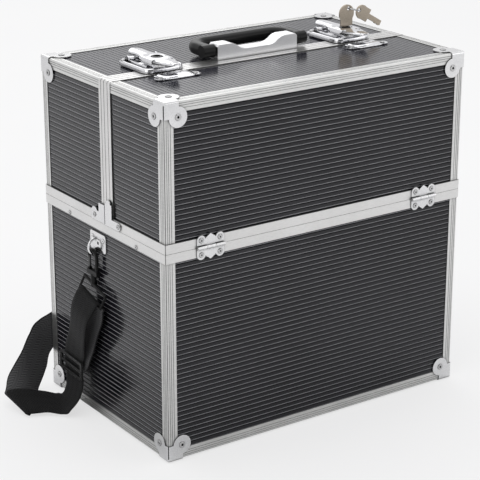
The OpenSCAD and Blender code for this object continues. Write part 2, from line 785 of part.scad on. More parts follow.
// End boards of a lid from its closed face to the seam, measured along Y
module lid_end_boards(seam) {
    difference() {
        to_sides() translate([-w2 + leg_t, 0, 0]) on_left()
            board(-seam, d2 - blk - slot_gap, web_high, case_h - blk - slot_gap,
                -seam, d2 - leg - field_gap, web_high + 0.3, case_h - leg - field_gap);
        cap_shafts(rivet_r / 2 + fit, -1, 9);
    }
}

module lid_top_board(seam) {
    translate([0, 0, case_h - leg_t]) rotate([0, 0, 90])
        board(-d2 + blk + slot_gap, seam, -w2 + blk + slot_gap, w2 - blk - slot_gap,
            -d2 + leg + field_gap, seam, -w2 + leg + field_gap, w2 - leg - field_gap);
}

module lid_edges(seam) {
    to_sides() {
        post(web_high, case_h - 3);
        to_top() rail_y(-d2 + leg + joint_gap, seam, 0);
    }
    to_top() translate([0, 0, -z0]) rail_x();
}

module front_half() {
    intersection() {
        children();
        translate([-case_w, -case_d, 0]) cube([2 * case_w, case_d + front_y, 2 * case_h]);
    }
}

module rear_half() {
    intersection() {
        children();
        translate([-case_w, rear_y, 0]) cube([2 * case_w, case_d, 2 * case_h]);
    }
}

// Front lid nodes

module front_lid_board() {
    color([0.03, 0.03, 0.035]) difference() {
        lid_face_board();
        cap_shafts(rivet_r / 2 + fit, -1, 9);
    }
}

module front_lid_top_board() {
    color([0.03, 0.03, 0.035]) difference() {
        lid_top_board(front_y - edging_t);
        cap_shafts(rivet_r / 2 + fit, -1, 9);
        catch_shafts(1.2 + fit);
    }
}

module front_lid_end_boards() {
    color([0.03, 0.03, 0.035]) difference() {
        lid_end_boards(front_y - edging_t);
        plate_shafts(1.2 + fit);
    }
}

module front_lid_edges() {
    color([0.78, 0.78, 0.78]) lid_edges(front_y);
}

module front_lid_seam_edging() {
    top = case_h - leg;
    color([0.05, 0.05, 0.05]) {
        to_sides() {
            translate([-w2 + 0.8, front_y - edging_t, lid_base + band_h + 0.4])
                cube([blk - 0.8, edging_t, top - lid_base - band_h - 0.4]);
            translate([-w2 + blk - inner_t, front_y - 10, lid_base + band_h + 0.4])
                cube([inner_t, 10, top - lid_base - band_h - 0.4]);
        }
        translate([-w2 + leg, front_y - edging_t, case_h - blk])
            cube([case_w - 2 * leg, edging_t, blk - 0.8]);
        translate([-w2 + leg, front_y - 10, case_h - blk])
            cube([case_w - 2 * leg, 10, inner_t]);
    }
}

module front_lid_rim() {
    color([0.8, 0.8, 0.8]) difference() {
        front_half() rim_high();
        plate_shafts(1.2 + fit);
    }
}

module front_lid_caps() {
    color([0.85, 0.85, 0.86]) caps_high();
}

module front_lid_rivets() {
    color([0.8, 0.8, 0.8]) {
        cap_rivets(low = false, rear = false);
        hinge_rivets(1);
        to_sides() translate([-w2 - band_out - 1.3, front_y - 12, lid_base + 4.5])
            rotate([0, -90, 0]) {
                rivet_head(2.4, 0.9, 0.7);
                translate([0, 0, -3]) cylinder(h = 3, r = 1.2);
            }
        for (x = [-latch_x, latch_x], i = [-1, 1]) translate([x + i * 20, -39, case_h + 1.2]) {
            rivet_head(2.4, 0.9, 0.7);
            translate([0, 0, -6]) cylinder(h = 6, r = 1.2);
        }
    }
}

module front_lid_hinge_leaves() {
    color([0.85, 0.85, 0.86]) leaf_pair(1);
}

module plate_shafts(r) {
    to_sides() {
        translate([-w2 - 4, front_y - 12, lid_base + 4.5]) rotate([0, 90, 0])
            cylinder(h = 4.5, r = r);
        translate([-w2 - 4, 12, lid_base + 5.5]) rotate([0, 90, 0]) cylinder(h = 4.5, r = r);
    }
}

module front_lid_angle_plates() {
    color([0.85, 0.85, 0.86]) to_sides() difference() {
        union() {
            translate([-w2 - band_out - 0.3, 0, 0]) rotate([90, 0, -90])
                linear_extrude(height = 1) {
                    translate([-front_y - 12.4, lid_base + 0.4]) square([12.4, 22.5]);
                    translate([-front_y, lid_base + 0.4]) square([12, 8]);
                    translate([-front_y + 12, lid_base + 4.4]) circle(r = 4);
                    translate([-front_y - 6.2, lid_base + 22.5]) circle(r = 4);
                }
            translate([-w2 - band_out, 0, 0]) rotate([90, 0, -90]) linear_extrude(height = 0.6) {
                translate([-front_y + 0.3, lid_base + 0.4]) square([11.7, 8]);
                translate([-front_y + 12, lid_base + 4.4]) circle(r = 4);
            }
        }
        plate_shafts(1.2 + fit);
    }
}

module catch_shafts(r) {
    for (x = [-latch_x, latch_x], i = [-1, 1]) translate([x + i * 20, -39, case_h - 6])
        cylinder(h = 10, r = r);
}

module latch_catches() {
    color([0.86, 0.86, 0.88]) for (x = [-latch_x, latch_x]) difference() {
        translate([x, 0, case_h]) {
            linear_extrude(height = 1.2) {
                translate([-20, -44.5]) square([40, 18]);
                for (i = [-1, 1]) translate([i * 20, -39]) circle(r = 5.5);
                translate([-17, -27]) square([34, 4]);
            }
            translate([-20, -44.5, -0.6]) cube([40, 18, 1]);
            translate([-9, -31.5, 0.6]) cube([18, 1.6, 3]);
        }
        catch_shafts(1.2 + fit);
    }
}

module front_tray_links() {
    color([0.7, 0.7, 0.7]) to_sides() tray_link();
}

// Rear lid nodes

module rear_lid_board() {
    color([0.03, 0.03, 0.035]) difference() {
        to_rear() lid_face_board();
        cap_shafts(rivet_r / 2 + fit, -1, 9);
    }
}

module rear_lid_top_board() {
    color([0.03, 0.03, 0.035]) difference() {
        to_rear() lid_top_board(-rear_y - 1.2);
        cap_shafts(rivet_r / 2 + fit, -1, 9);
        base_shafts(1.2 + fit);
        bracket_shafts(1.5 + fit);
        translate([0, 0, case_h + rib_h - leg_t - 2]) linear_extrude(height = 4)
            translate([-w2, rear_y - 1]) square([case_w, strip_y - rear_y + 1.15]);
    }
}

module rear_lid_end_boards() {
    color([0.03, 0.03, 0.035]) difference() {
        to_rear() lid_end_boards(-rear_y - 1.2);
        plate_shafts(1.2 + fit);
        to_sides() translate([-w2 - 1, rear_y - 1, web_high])
            cube([1 + leg_t, strip_y - rear_y + 1.15, case_h]);
    }
}

module rear_lid_edges() {
    color([0.78, 0.78, 0.78]) to_rear() lid_edges(-strip_y - 0.1);
}

// Section of the seam strip as an arch over the lid, in the XZ plane
module arch_2d(out, in) {
    difference() {
        union() {
            translate([-w2 - out, lid_base + band_h + 0.3])
                square([case_w + 2 * out, case_h - lid_base - band_h - 4 + out]);
            translate([-w2 - out + 3, lid_base + band_h + 0.3])
                square([case_w + 2 * out - 6, case_h - lid_base - band_h - 0.3 + out]);
            for (i = [-1, 1]) translate([i * (w2 + out - 3), case_h + out - 3]) circle(r = 3);
            translate([-w2 - out, case_h - 6]) square([case_w + 2 * out, 3 + out]);
        }
        translate([-w2 + in, lid_base]) square([case_w - 2 * in, case_h - lid_base - in]);
    }
}

module rear_lid_seam_strip() {
    color([0.8, 0.8, 0.8]) difference() {
        union() {
            translate([0, strip_y, 0]) rotate([90, 0, 0])
                linear_extrude(height = strip_y - rear_y) arch_2d(strip_out, leg_t - rib_h + 0.1);
            translate([0, rear_y + 1, 0]) rotate([90, 0, 0])
                linear_extrude(height = 1) arch_2d(strip_out, rim_in);
        }
        for (y = [-3.7, -9.2, -15.6]) translate([0, y + 0.4, 0]) rotate([90, 0, 0])
            linear_extrude(height = 0.8) difference() {
                translate([-w2 - 10, lid_base]) square([case_w + 20, case_h]);
                arch_2d(strip_out - 0.4, case_w / 2 - 1);
            }
        base_shafts(1.2 + fit);
    }
}

module rear_lid_rim() {
    color([0.8, 0.8, 0.8]) difference() {
        rear_half() rim_high();
        plate_shafts(1.2 + fit);
    }
}

module rear_lid_caps() {
    color([0.85, 0.85, 0.86]) to_rear() caps_high();
}

module rear_lid_rivets() {
    color([0.8, 0.8, 0.8]) {
        cap_rivets(low = false, front = false);
        to_rear() hinge_rivets(1);
        to_sides() translate([-w2 - band_out - 1, 12, lid_base + 5.5]) rotate([0, -90, 0]) {
            rivet_head(2.4, 0.9, 0.7);
            translate([0, 0, -2.6]) cylinder(h = 2.6, r = 1.2);
        }
        for (x = [-latch_x, latch_x], i = [-1, 1])
            translate([x + i * rivet_x, rivet_y, case_h + strip_out + 5]) {
                rivet_head(2.2, 0.8, 0.6);
                translate([0, 0, -10]) cylinder(h = 10, r = 1.2);
            }
        for (x = [-1, 1]) translate([x * (bracket_x - 6), 3.8, case_h + strip_out + 1]) {
            rivet_head(2.6, 0.9, 0.7);
            translate([0, 0, -6.2]) cylinder(h = 6.2, r = 1.5);
        }
    }
}

module rear_lid_hinge_leaves() {
    color([0.85, 0.85, 0.86]) to_rear() leaf_pair(1);
}

module rear_lid_angle_plates() {
    color([0.85, 0.85, 0.86]) to_sides() difference() {
        translate([-w2 - band_out, 0, 0]) rotate([90, 0, -90]) linear_extrude(height = 1) {
            translate([-18, lid_base + 0.4]) square([25, 10]);
            translate([-4, lid_base + 0.4]) square([11, 19]);
            translate([-12.5, lid_base + 8]) circle(r = 5.5);
        }
        plate_shafts(1.2 + fit);
    }
}

module rear_tray_links() {
    color([0.7, 0.7, 0.7]) to_rear() to_sides() tray_link();
}

// Latches

module base_shafts(r) {
    for (x = [-latch_x, latch_x], i = [-1, 1])
        translate([x + i * rivet_x, rivet_y, case_h - 6]) cylinder(h = 20, r = r);
}

module base_plan(d) {
    translate([-23 + d, -18 + d]) square([46 - 2 * d, 46 - 2 * d]);
    polygon([[-23 + d, 27], [23 - d, 27], [23 - d, 30], [17 - d, 38 - d], [-17 + d, 38 - d],
        [-23 + d, 30]]);
}

module latch_base() {
    difference() {
        union() {
            linear_extrude(height = 5) base_plan(0);
            linear_extrude(height = 1) {
                translate([-17, 30]) square([34, 10]);
                translate([-12, 40]) circle(r = 5);
                translate([12, 40]) circle(r = 5);
                translate([-12, 35]) square([24, 10]);
            }
        }
        translate([0, 0, -0.2]) linear_extrude(height = 4) base_plan(1.2);
        translate([-15.3, -12, 2]) cube([30.6, 45, 6]);
        translate([-10, -20, 1.6]) cube([20, 12, 6]);
    }
    for (i = [-1, 1]) translate([i * 16.1 - 0.7, 0, 0]) {
        translate([0, -8, 3]) cube([1.4, 41.8, 3]);
        translate([0, pin_y, pin_up - strip_out]) rotate([0, 90, 0]) cylinder(h = 1.4, r = 3.4);
    }
    // Keeper bar that the lock bolt reaches
    translate([-16, -3, 2.6]) cube([32, 3, 2.2]);
}

module latch_bases() {
    color([0.86, 0.86, 0.88]) for (x = [-latch_x, latch_x]) difference() {
        translate([x, 0, case_h + strip_out]) latch_base();
        base_shafts(1.2 + fit);
        translate([x - 17.9, pin_y, case_h + pin_up]) rotate([0, 90, 0])
            cylinder(h = 35.8, r = 1.5 + fit);
    }
}

module latch_pins() {
    color([0.75, 0.75, 0.77]) for (x = [-latch_x, latch_x])
        translate([x - 17.4, pin_y, case_h + pin_up]) rotate([0, 90, 0])
            cylinder(h = 34.8, r = 1.5);
}

function lever_half(y) = y > 33 ? 9 : y > 24 ? 9 - 0.8 * sin((33 - y) * 10)
    : y > 4 ? 8.2 + 5 * (1 - cos((24 - y) * 9)) / 2 : y > -6 ? 13.2
    : 13.2 - 7.8 * (1 - cos((-6 - y) * 180 / 56)) ;

module lever_plan(d) {
    polygon(concat([for (y = [35 : -2 : -33]) [-lever_half(y) + d, y]],
        [for (y = [-33 : 2 : 35]) [lever_half(y) - d, y]]));
    translate([0, 35.3]) circle(r = 9 - d);
    translate([0, -32.3]) circle(r = lever_half(-32.3) - d);
}

// Side view of the lever: the nose rises over the path of the opening front lid
module lever_side(d) {
    polygon([[46, 10.2], [40, 10.2], [34, 9.8 - d / 2], [29, 4.4], [22, 4.4], [18, 6.6],
        [-14, 6.6], [-20, 7], [-25, 7.8], [-31, 9.2], [-38, 11.5], [-39, 12.6 - d], [46, 12.6 - d]]);
}

module latch_lever() {
    difference() {
        intersection() {
            linear_extrude(height = 12.6) lever_plan(0);
            translate([-20, 0, 0]) rotate([90, 0, 90]) linear_extrude(height = 40) lever_side(0);
        }
        intersection() {
            linear_extrude(height = 11.2) lever_plan(1.3);
            translate([-20, 0, 0]) rotate([90, 0, 90]) linear_extrude(height = 40)
                polygon([[24, 0], [24, 11.2], [-31, 11.2], [-31, 0]]);
        }
        translate([0, -1.5, 0]) cylinder(h = 20, r = 5 + fit);
        translate([-20, pin_y, pin_up]) rotate([0, 90, 0]) cylinder(h = 40, r = 1.5 + fit);
    }
    difference() {
        translate([-14.9, pin_y, pin_up]) rotate([0, 90, 0]) cylinder(h = 29.8, r = 2.6);
        translate([-20, pin_y, pin_up]) rotate([0, 90, 0]) cylinder(h = 40, r = 1.5 + fit);
    }
}

module latch_lever_left() {
    color([0.88, 0.88, 0.9]) translate([-latch_x, 0, case_h]) latch_lever();
}

module latch_lever_right() {
    color([0.88, 0.88, 0.9]) translate([latch_x, 0, case_h]) latch_lever();
}

// Lock barrel with its keyway and the bolt under the lever
module lock_plug() {
    translate([0, -1.5, 0]) {
        difference() {
            union() {
                translate([0, 0, 7.6]) cylinder(h = 5.2, r = 5);
                translate([0, 0, 12.7]) cylinder(h = 0.5, r = 5.8);
            }
            translate([0, 0, 8.6]) cylinder(h = 6, r = 3.6);
        }
        difference() {
            translate([0, 0, 8.6]) cylinder(h = 3.4, r = 3.6);
            translate([-2.7, -0.95, 9.6]) cube([5.4, 1.9, 5]);
        }
    }
}

module lock_plug_left() {
    color([0.2, 0.2, 0.2]) translate([-latch_x, 0, case_h]) lock_plug();
}

module lock_plug_right() {
    color([0.2, 0.2, 0.2]) translate([latch_x, 0, case_h]) lock_plug();
}

// Keys: flat plates standing along X

module key_head_2d() {
    difference() {
        union() {
            translate([-7.5, 0]) square([15, 14]);
            translate([0, 13]) circle(r = 9.3);
            translate([-5, -0.3]) square([10, 5]);
        }
        translate([2.5, 18]) circle(r = 2.2);
    }
}

module lock_key() {
    color([0.62, 0.56, 0.48]) translate([latch_x + 1.5, -1.5 + key_t / 2, case_h + 14]) {
        rotate([90, 0, 0]) linear_extrude(height = key_t) key_head_2d();
        translate([-3.7, -key_t / 2 - 0.8, -4]) cube([4.4, 1.6, 4.2]);
    }
}

// The ring runs through the holes of both keys
module key_ring() {
    color([0.8, 0.8, 0.8]) translate([latch_x + 10.97, -1.5, case_h + 30.17]) rotate([0, 14.7, 0])
        rotate_extrude() translate([7.2, 0]) circle(r = 0.7, $fn = 24);
}

module spare_key() {
    color([0.62, 0.56, 0.48]) translate([latch_x + 17.5, -1.5 + key_t / 2, case_h + 28.6])
        rotate([90, 0, 0]) rotate([0, 0, -30]) linear_extrude(height = key_t) difference() {
            union() {
                translate([5, -7]) square([10, 14]);
                translate([5, 0]) circle(r = 7.5);
                translate([14, -3]) square([20, 5.4]);
                translate([26, -3.6]) square([2, 2]);
                translate([30, -3.6]) square([2.4, 2]);
            }
            translate([0.5, 0]) circle(r = 2.2);
        }
}

// Handle

handle_up = 9.4;
grip_r = 6.5;
bend_r = 18;

module bracket_shafts(r) {
    for (x = [-1, 1]) translate([x * (bracket_x - 6), 3.8, case_h - 7]) cylinder(h = 10, r = r);
}

// Side view of the saddle: a low middle that swells in S curves to both ends
module saddle_2d(d) {
    a1 = asin(10 / 15.4);
    side = concat([for (i = [0 : 6]) let (a = i * a1 / 6)
            [14 + (15.4 + d) * sin(a), 23.6 - (15.4 + d) * cos(a)]],
        [for (i = [5 : -1 : 0]) let (a = i * a1 / 6)
            [34 - (15.4 - d) * sin(a), 0.2 + (15.4 - d) * cos(a)]],
        [[bracket_x - 2, 15.6 - d], [bracket_x, 13.6 - d], [bracket_x, 0]]);
    polygon(concat(side, [for (i = [len(side) - 1 : -1 : 0]) [-side[i][0], side[i][1]]]));
}

module handle_bracket() {
    color([0.88, 0.88, 0.9]) {
        difference() {
            translate([0, 8, case_h + strip_out]) rotate([90, 0, 0]) linear_extrude(height = 16)
                saddle_2d(0);
            intersection() {
                translate([0, 6.8, case_h + strip_out]) rotate([90, 0, 0])
                    linear_extrude(height = 13.6) saddle_2d(1.2);
                translate([-bracket_x + 2.7, -10, case_h + strip_out + 1])
                    cube([2 * bracket_x - 5.4, 20, 20]);
            }
            translate([-30, -6.8, case_h - 1]) cube([60, 13.6, 4]);
            for (i = [-1, 1]) translate([i * (bracket_x + 8.5) - 10, -6.8, case_h + strip_out + 1])
                cube([20, 13.6, 12]);
            bracket_shafts(1.5 + fit);
        }
        for (i = [-1, 1]) translate([i * (bracket_x + 3.5), 0, case_h + handle_up])
            rotate([0, 90, 0]) cylinder(h = 12, r = 2.4, center = true);
    }
}

module grip_2d() {
    round_rect(7.1, grip_r, 5.8);
}

// The grip folds back over the rear lid
module carry_handle() {
    xl = grip_x - 7.1;
    color([0.03, 0.03, 0.03]) translate([0, 0, case_h + handle_up]) {
        translate([-xl + bend_r, 15 + bend_r, 0]) rotate([90, 0, 90])
            linear_extrude(height = 2 * (xl - bend_r)) grip_2d();
        to_sides() {
            translate([-xl + bend_r, 15, 0]) intersection() {
                rotate_extrude() translate([bend_r, 0]) grip_2d();
                translate([-40, 0, -20]) cube([40, 40, 40]);
            }
            difference() {
                union() {
                    translate([-xl, 15, 0]) rotate([90, 0, 0]) linear_extrude(height = 15) grip_2d();
                    translate([-grip_x, 0, 0]) rotate([0, 90, 0]) cylinder(h = 14.2, r = grip_r);
                }
                translate([-bracket_x - 9.8, 0, 0]) rotate([0, 90, 0])
                    cylinder(h = 20, r = 2.4 + fit);
            }
        }
    }
}

// Arms and trays

module front_arms() {
    color([0.72, 0.72, 0.72]) to_sides() arm();
}

module rear_arms() {
    color([0.72, 0.72, 0.72]) to_rear() to_sides() arm();
}

module front_lower_tray() {
    color([0.1, 0.1, 0.1]) lower_tray();
}

module front_upper_tray() {
    color([0.1, 0.1, 0.1]) upper_tray();
}

module rear_lower_tray() {
    color([0.1, 0.1, 0.1]) to_rear() lower_tray();
}

module rear_upper_tray() {
    color([0.1, 0.1, 0.1]) to_rear() upper_tray();
}

base_front_board();
base_rear_board();
base_end_boards();
base_bottom_board();
base_edges();
base_rim();
base_caps();
base_rivets();
base_hinge_leaves();
hinge_pins();
arm_pivots();
strap_brackets();
snap_hooks();
snap_gate_left();
snap_gate_right();
shoulder_strap();
strap_adjuster();
front_lid_board();
front_lid_top_board();
front_lid_end_boards();
front_lid_edges();
front_lid_seam_edging();
front_lid_rim();
front_lid_caps();
front_lid_rivets();
front_lid_hinge_leaves();
front_lid_angle_plates();
latch_catches();
front_tray_links();
rear_lid_board();
rear_lid_top_board();
rear_lid_end_boards();
rear_lid_edges();
rear_lid_seam_strip();
rear_lid_rim();
rear_lid_caps();
rear_lid_rivets();
rear_lid_hinge_leaves();
rear_lid_angle_plates();
rear_tray_links();
latch_bases();
latch_pins();
handle_bracket();
front_arms();
rear_arms();
front_lower_tray();
front_upper_tray();
rear_lower_tray();
rear_upper_tray();
carry_handle();
latch_lever_left();
latch_lever_right();
lock_plug_left();
lock_plug_right();
lock_key();
key_ring();
spare_key();
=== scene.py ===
"""Looks of a makeup case with two lids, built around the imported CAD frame."""

import json
import logging
import math
from collections.abc import Sequence
from dataclasses import dataclass, field
from enum import Enum

import bmesh
import bpy
from mathutils import Matrix, Vector


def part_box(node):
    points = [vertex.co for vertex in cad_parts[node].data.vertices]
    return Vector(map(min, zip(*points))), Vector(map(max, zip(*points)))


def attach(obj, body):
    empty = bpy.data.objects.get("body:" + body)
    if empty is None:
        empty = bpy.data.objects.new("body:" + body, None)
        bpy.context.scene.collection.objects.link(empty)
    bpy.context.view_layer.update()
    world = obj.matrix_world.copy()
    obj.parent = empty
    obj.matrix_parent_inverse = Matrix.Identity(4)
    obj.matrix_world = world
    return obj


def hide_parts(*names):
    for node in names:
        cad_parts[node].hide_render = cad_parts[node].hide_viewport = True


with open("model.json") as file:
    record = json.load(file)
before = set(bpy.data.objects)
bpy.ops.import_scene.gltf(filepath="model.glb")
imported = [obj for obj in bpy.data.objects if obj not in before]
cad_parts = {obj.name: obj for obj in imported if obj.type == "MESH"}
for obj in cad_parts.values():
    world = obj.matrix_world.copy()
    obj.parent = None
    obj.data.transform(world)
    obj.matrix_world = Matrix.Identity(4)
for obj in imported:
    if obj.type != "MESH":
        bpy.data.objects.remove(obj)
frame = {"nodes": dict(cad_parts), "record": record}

logging.basicConfig(level=logging.INFO, format="%(message)s")
LOG = logging.getLogger("scene")

Object = bpy.types.Object
Socket = bpy.types.NodeSocket
BMesh = bmesh.types.BMesh
Colour = tuple[float, float, float]
Point = tuple[float, float, float]
Pair = tuple[float, float]
# A centre and the direction across the webbing there
Station = tuple[Point, Point]
# X, Y and radius of an outline's corner
Corner = tuple[float, float, float]
# Steps of a pressed form: the inset or the share of the size, and the height
Profile = tuple[Pair, ...]

# One millimetre in metres
MM = 0.001
# The outer faces of the edge profiles: the foot, half the width and the depth, and the top, in metres
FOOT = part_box("base_edges")[0].z
HALF_X, HALF_Y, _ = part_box("base_edges")[1]
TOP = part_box("front_lid_edges")[1].z
# How far behind those faces the floors of the boards' grooves lie
GROOVE = 0.0012
# Height from which the boards belong to the lids, in metres
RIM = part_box("front_lid_rim")[0].z
# Added to U on the webbing's reverse side
REVERSE_U = 1.0
# Each latch's distance from the middle and the height of the lids' top, in millimetres
LATCH_X = sum(corner.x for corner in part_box("latch_lever_right")) / 2 / MM
LID_TOP = TOP / MM
# The latch pins: place along, height over the lids' top and radius of the bores round them
PIN_Y, PIN_UP, PIN_BORE = 27.0, 6.5, 1.56


class Axis(Enum):
    """The direction that a board faces."""

    X = 0
    Y = 1
    Z = 2


class Nodes:
    """A thin helper that adds and joins shader nodes of one tree."""

    def __init__(self, tree: bpy.types.NodeTree) -> None:
        """Keeps the tree that the nodes are added to."""
        self.tree = tree

    def add(self, kind: str, **values: object) -> bpy.types.Node:
        """Adds one node.

        Args:
            kind: The node's type name without its ShaderNode prefix.
            values: Attributes to set on the node.

        Returns:
            The new node.
        """
        node = self.tree.nodes.new("ShaderNode" + kind)
        for key, value in values.items():
            setattr(node, key, value)
        return node

    def link(self, source: Socket, target: Socket) -> None:
        """Joins an output to an input."""
        self.tree.links.new(source, target)

    def feed(self, socket: Socket, value: object) -> None:
        """Joins an output to an input, or sets the input to a constant.

        Args:
            socket: The input socket.
            value: An output socket or a constant.
        """
        if isinstance(value, Socket):
            self.link(value, socket)
        else:
            socket.default_value = value

    def coordinates(self, kind: str = "Object") -> Socket:
        """Gives the coordinates of the chosen kind."""
        return self.add("TexCoord").outputs[kind]

    def parts(self, vector: Socket) -> tuple[Socket, ...]:
        """Splits a vector.

        Args:
            vector: The vector.

        Returns:
            The sockets of X, Y and Z.
        """
        node = self.add("SeparateXYZ")
        self.link(vector, node.inputs[0])
        return tuple(node.outputs)

    def math(self, kind: str, *values: object, clamp: bool = False) -> Socket:
        """Adds a math node.

        Args:
            kind: The operation.
            values: Numbers or output sockets, one for each input.
            clamp: Whether the result stays from 0 to 1.

        Returns:
            The result's socket.
        """
        node = self.add("Math", operation=kind, use_clamp=clamp)
        for socket, value in zip(node.inputs, values):
            self.feed(socket, value)
        return node.outputs[0]

    def mix(self, share: object, first: Socket, second: object, blend: str = "MIX") -> Socket:
        """Mixes two colours.

        Args:
            share: The share of the second colour.
            first: The first colour.
            second: The second colour.
            blend: The way of mixing.

        Returns:
            The mixed colour's socket.
        """
        node = self.add("Mix", data_type="RGBA", blend_type=blend)
        for place, value in ((0, share), (6, first), (7, second)):
            self.feed(node.inputs[place], value)
        return node.outputs[2]

    def blend(self, share: Socket, first: Socket, second: Socket) -> Socket:
        """Blends two shaders.

        Args:
            share: The share of the second shader.
            first: The first shader.
            second: The second shader.

        Returns:
            The blended shader's socket.
        """
        node = self.add("MixShader")
        for socket, value in zip(node.inputs, (share, first, second)):
            self.link(value, socket)
        return node.outputs[0]

    def noise(self, vector: Socket, scale: float, detail: float = 3) -> Socket:
        """Adds a noise texture.

        Args:
            vector: The coordinates.
            scale: The texture's scale.
            detail: The number of octaves.

        Returns:
            The noise value's socket.
        """
        node = self.add("TexNoise")
        node.inputs["Scale"].default_value = scale
        node.inputs["Detail"].default_value = detail
        self.link(vector, node.inputs["Vector"])
        return node.outputs["Fac"]

    def ramp(self, source: Socket, low: tuple[float, Colour], high: tuple[float, Colour]) -> Socket:
        """Adds a ramp between two colours.

        Args:
            source: The value that picks the colour.
            low: The value and the colour where the ramp starts.
            high: The value and the colour where it ends.

        Returns:
            The colour's socket.
        """
        node = self.add("ValToRGB")
        for element, (place, colour) in zip(node.color_ramp.elements, (low, high)):
            element.position = place
            element.color = (*colour, 1)
        self.link(source, node.inputs[0])
        return node.outputs[0]

    def span(self, source: Socket, low: float, high: float, start: float = 0.0, end: float = 1.0) -> Socket:
        """Maps one range onto another.

        Args:
            source: The value.
            low: The result at the start.
            high: The result at the end.
            start: The value where the range starts.
            end: The value where the range ends.

        Returns:
            The result's socket.
        """
        node = self.add("MapRange")
        for key, value in (("From Min", start), ("From Max", end), ("To Min", low), ("To Max", high)):
            node.inputs[key].default_value = value
        self.link(source, node.inputs["Value"])
        return node.outputs[0]

    def paint_crevice_shade(self, colour: Socket, reach: float, floor: float, power: float = 1.6) -> Socket:
        """Paints shade into a colour in narrow gaps and grooves, from ambient occlusion.

        Args:
            colour: The colour.
            reach: The width of a gap that is painted dark, in metres.
            floor: What is left of the colour inside a gap.
            power: How fast the colour darkens towards the gap.

        Returns:
            The darkened colour's socket.
        """
        node = self.add("AmbientOcclusion", samples=6)
        node.inputs["Distance"].default_value = reach
        light = self.math("POWER", node.outputs["AO"], power, clamp=True)
        return self.mix(1.0, colour, self.span(light, floor, 1.0), "MULTIPLY")


class MaterialNodes(Nodes):
    """The nodes of a new material, with its shader."""

    def __init__(self, name: str) -> None:
        """Starts an empty material.

        Args:
            name: The material's name.
        """
        self.material = bpy.data.materials.new(name)
        self.material.use_nodes = True
        super().__init__(self.material.node_tree)
        self.shader = self.tree.nodes["Principled BSDF"]

    def bump(self, height: Socket, strength: float, distance: float, edge: float = 0.0) -> None:
        """Gives the shader a bump.

        Args:
            height: The height value.
            strength: The bump's strength.
            distance: The height in metres that 1 stands for.
            edge: The radius of softened edges in metres.
        """
        node = self.add("Bump")
        if edge:
            soft = self.add("Bevel", samples=4)
            soft.inputs["Radius"].default_value = edge
            self.link(soft.outputs[0], node.inputs["Normal"])
        node.inputs["Strength"].default_value = strength
        node.inputs["Distance"].default_value = distance
        self.link(height, node.inputs["Height"])
        self.link(node.outputs[0], self.shader.inputs["Normal"])

    def set(self, **values: object) -> None:
        """Sets or joins the shader's own inputs, named with _ for a space."""
        for key, value in values.items():
            self.feed(self.shader.inputs[key.replace("_", " ")], value)


@dataclass(frozen=True)
class Finish:
    """A finish that a material is made from.

    Attributes:
        name: The material's name.
        slot: The record's material slot.
        dark: The darker colour of its variation.
        light: The lighter colour of its variation.
        rough: The lowest and highest roughness.
    """

    name: str
    slot: str
    dark: Colour
    light: Colour
    rough: Pair

    def build(self) -> bpy.types.Material:
        """Builds the material."""
        raise NotImplementedError


@dataclass(frozen=True)
class Metal(Finish):
    """Metal with a fine grain along one axis, a light wear and painted shade in its gaps and grooves.

    Attributes:
        grain: The stretch of the grain along X, Y and Z.
        depth: The height of the grain in metres.
        edge: The radius of softened edges in metres.
        dark_line: Half the width of the dark joint down each corner of the case.
        reach: How far behind the profile's outer face the joint is still drawn, in metres.
        scales: The noise scales of the grain and of the wear.
        share: The share of the grain in the variation.
        crevice_shade: The width of a gap that is painted dark with shade, in metres, and what is left of the
            colour in it.
        joint: The colour of the corner joint.
    """

    grain: Point = (1, 1, 1)
    depth: float = 2e-6
    edge: float = 0.0003
    dark_line: float = 0.0
    reach: float = 0.0025
    scales: Pair = (900, 30)
    share: float = 0.55
    crevice_shade: Pair = (0.003, 0.12)
    joint: Colour = (0.04, 0.04, 0.04)

    def build(self) -> bpy.types.Material:
        """Builds the metal.

        Returns:
            The material.
        """
        nodes = MaterialNodes(self.name)
        where = nodes.coordinates()
        stretched = nodes.add("Mapping")
        stretched.inputs["Scale"].default_value = self.grain
        nodes.link(where, stretched.inputs["Vector"])
        streak = nodes.noise(stretched.outputs[0], self.scales[0], 4)
        cloud = nodes.noise(where, self.scales[1])
        both = nodes.math("ADD", nodes.math("MULTIPLY", streak, self.share),
                          nodes.math("MULTIPLY", cloud, 1 - self.share))
        tone = nodes.ramp(both, (0.3, self.dark), (0.68, self.light))
        if self.dark_line:
            tone = self.corner_joint(nodes, where, tone)
        nodes.bump(streak, 0.35, self.depth, self.edge)
        # Painted shade: the colour darkens in gaps and grooves by ambient occlusion.
        nodes.set(Base_Color=nodes.paint_crevice_shade(tone, *self.crevice_shade), Roughness=nodes.span(both, *self.rough),
                  Metallic=1.0)
        return nodes.material

    def corner_joint(self, nodes: Nodes, where: Socket, tone: Socket) -> Socket:
        """Darkens the joint between the two legs down each vertical edge, on the corner's diagonal.

        Args:
            nodes: The material's nodes.
            where: The coordinates.
            tone: The metal's colour.

        Returns:
            The colour with its dark joints.
        """
        across, along = (nodes.math("ABSOLUTE", part) for part in nodes.parts(where)[:2])
        skew = nodes.math("SUBTRACT", nodes.math("SUBTRACT", across, along), HALF_X - HALF_Y)
        joint = nodes.math("MULTIPLY", nodes.math("LESS_THAN", nodes.math("ABSOLUTE", skew), self.dark_line),
                           nodes.math("GREATER_THAN", across, HALF_X - self.reach))
        return nodes.mix(joint, tone, (*self.joint, 1))


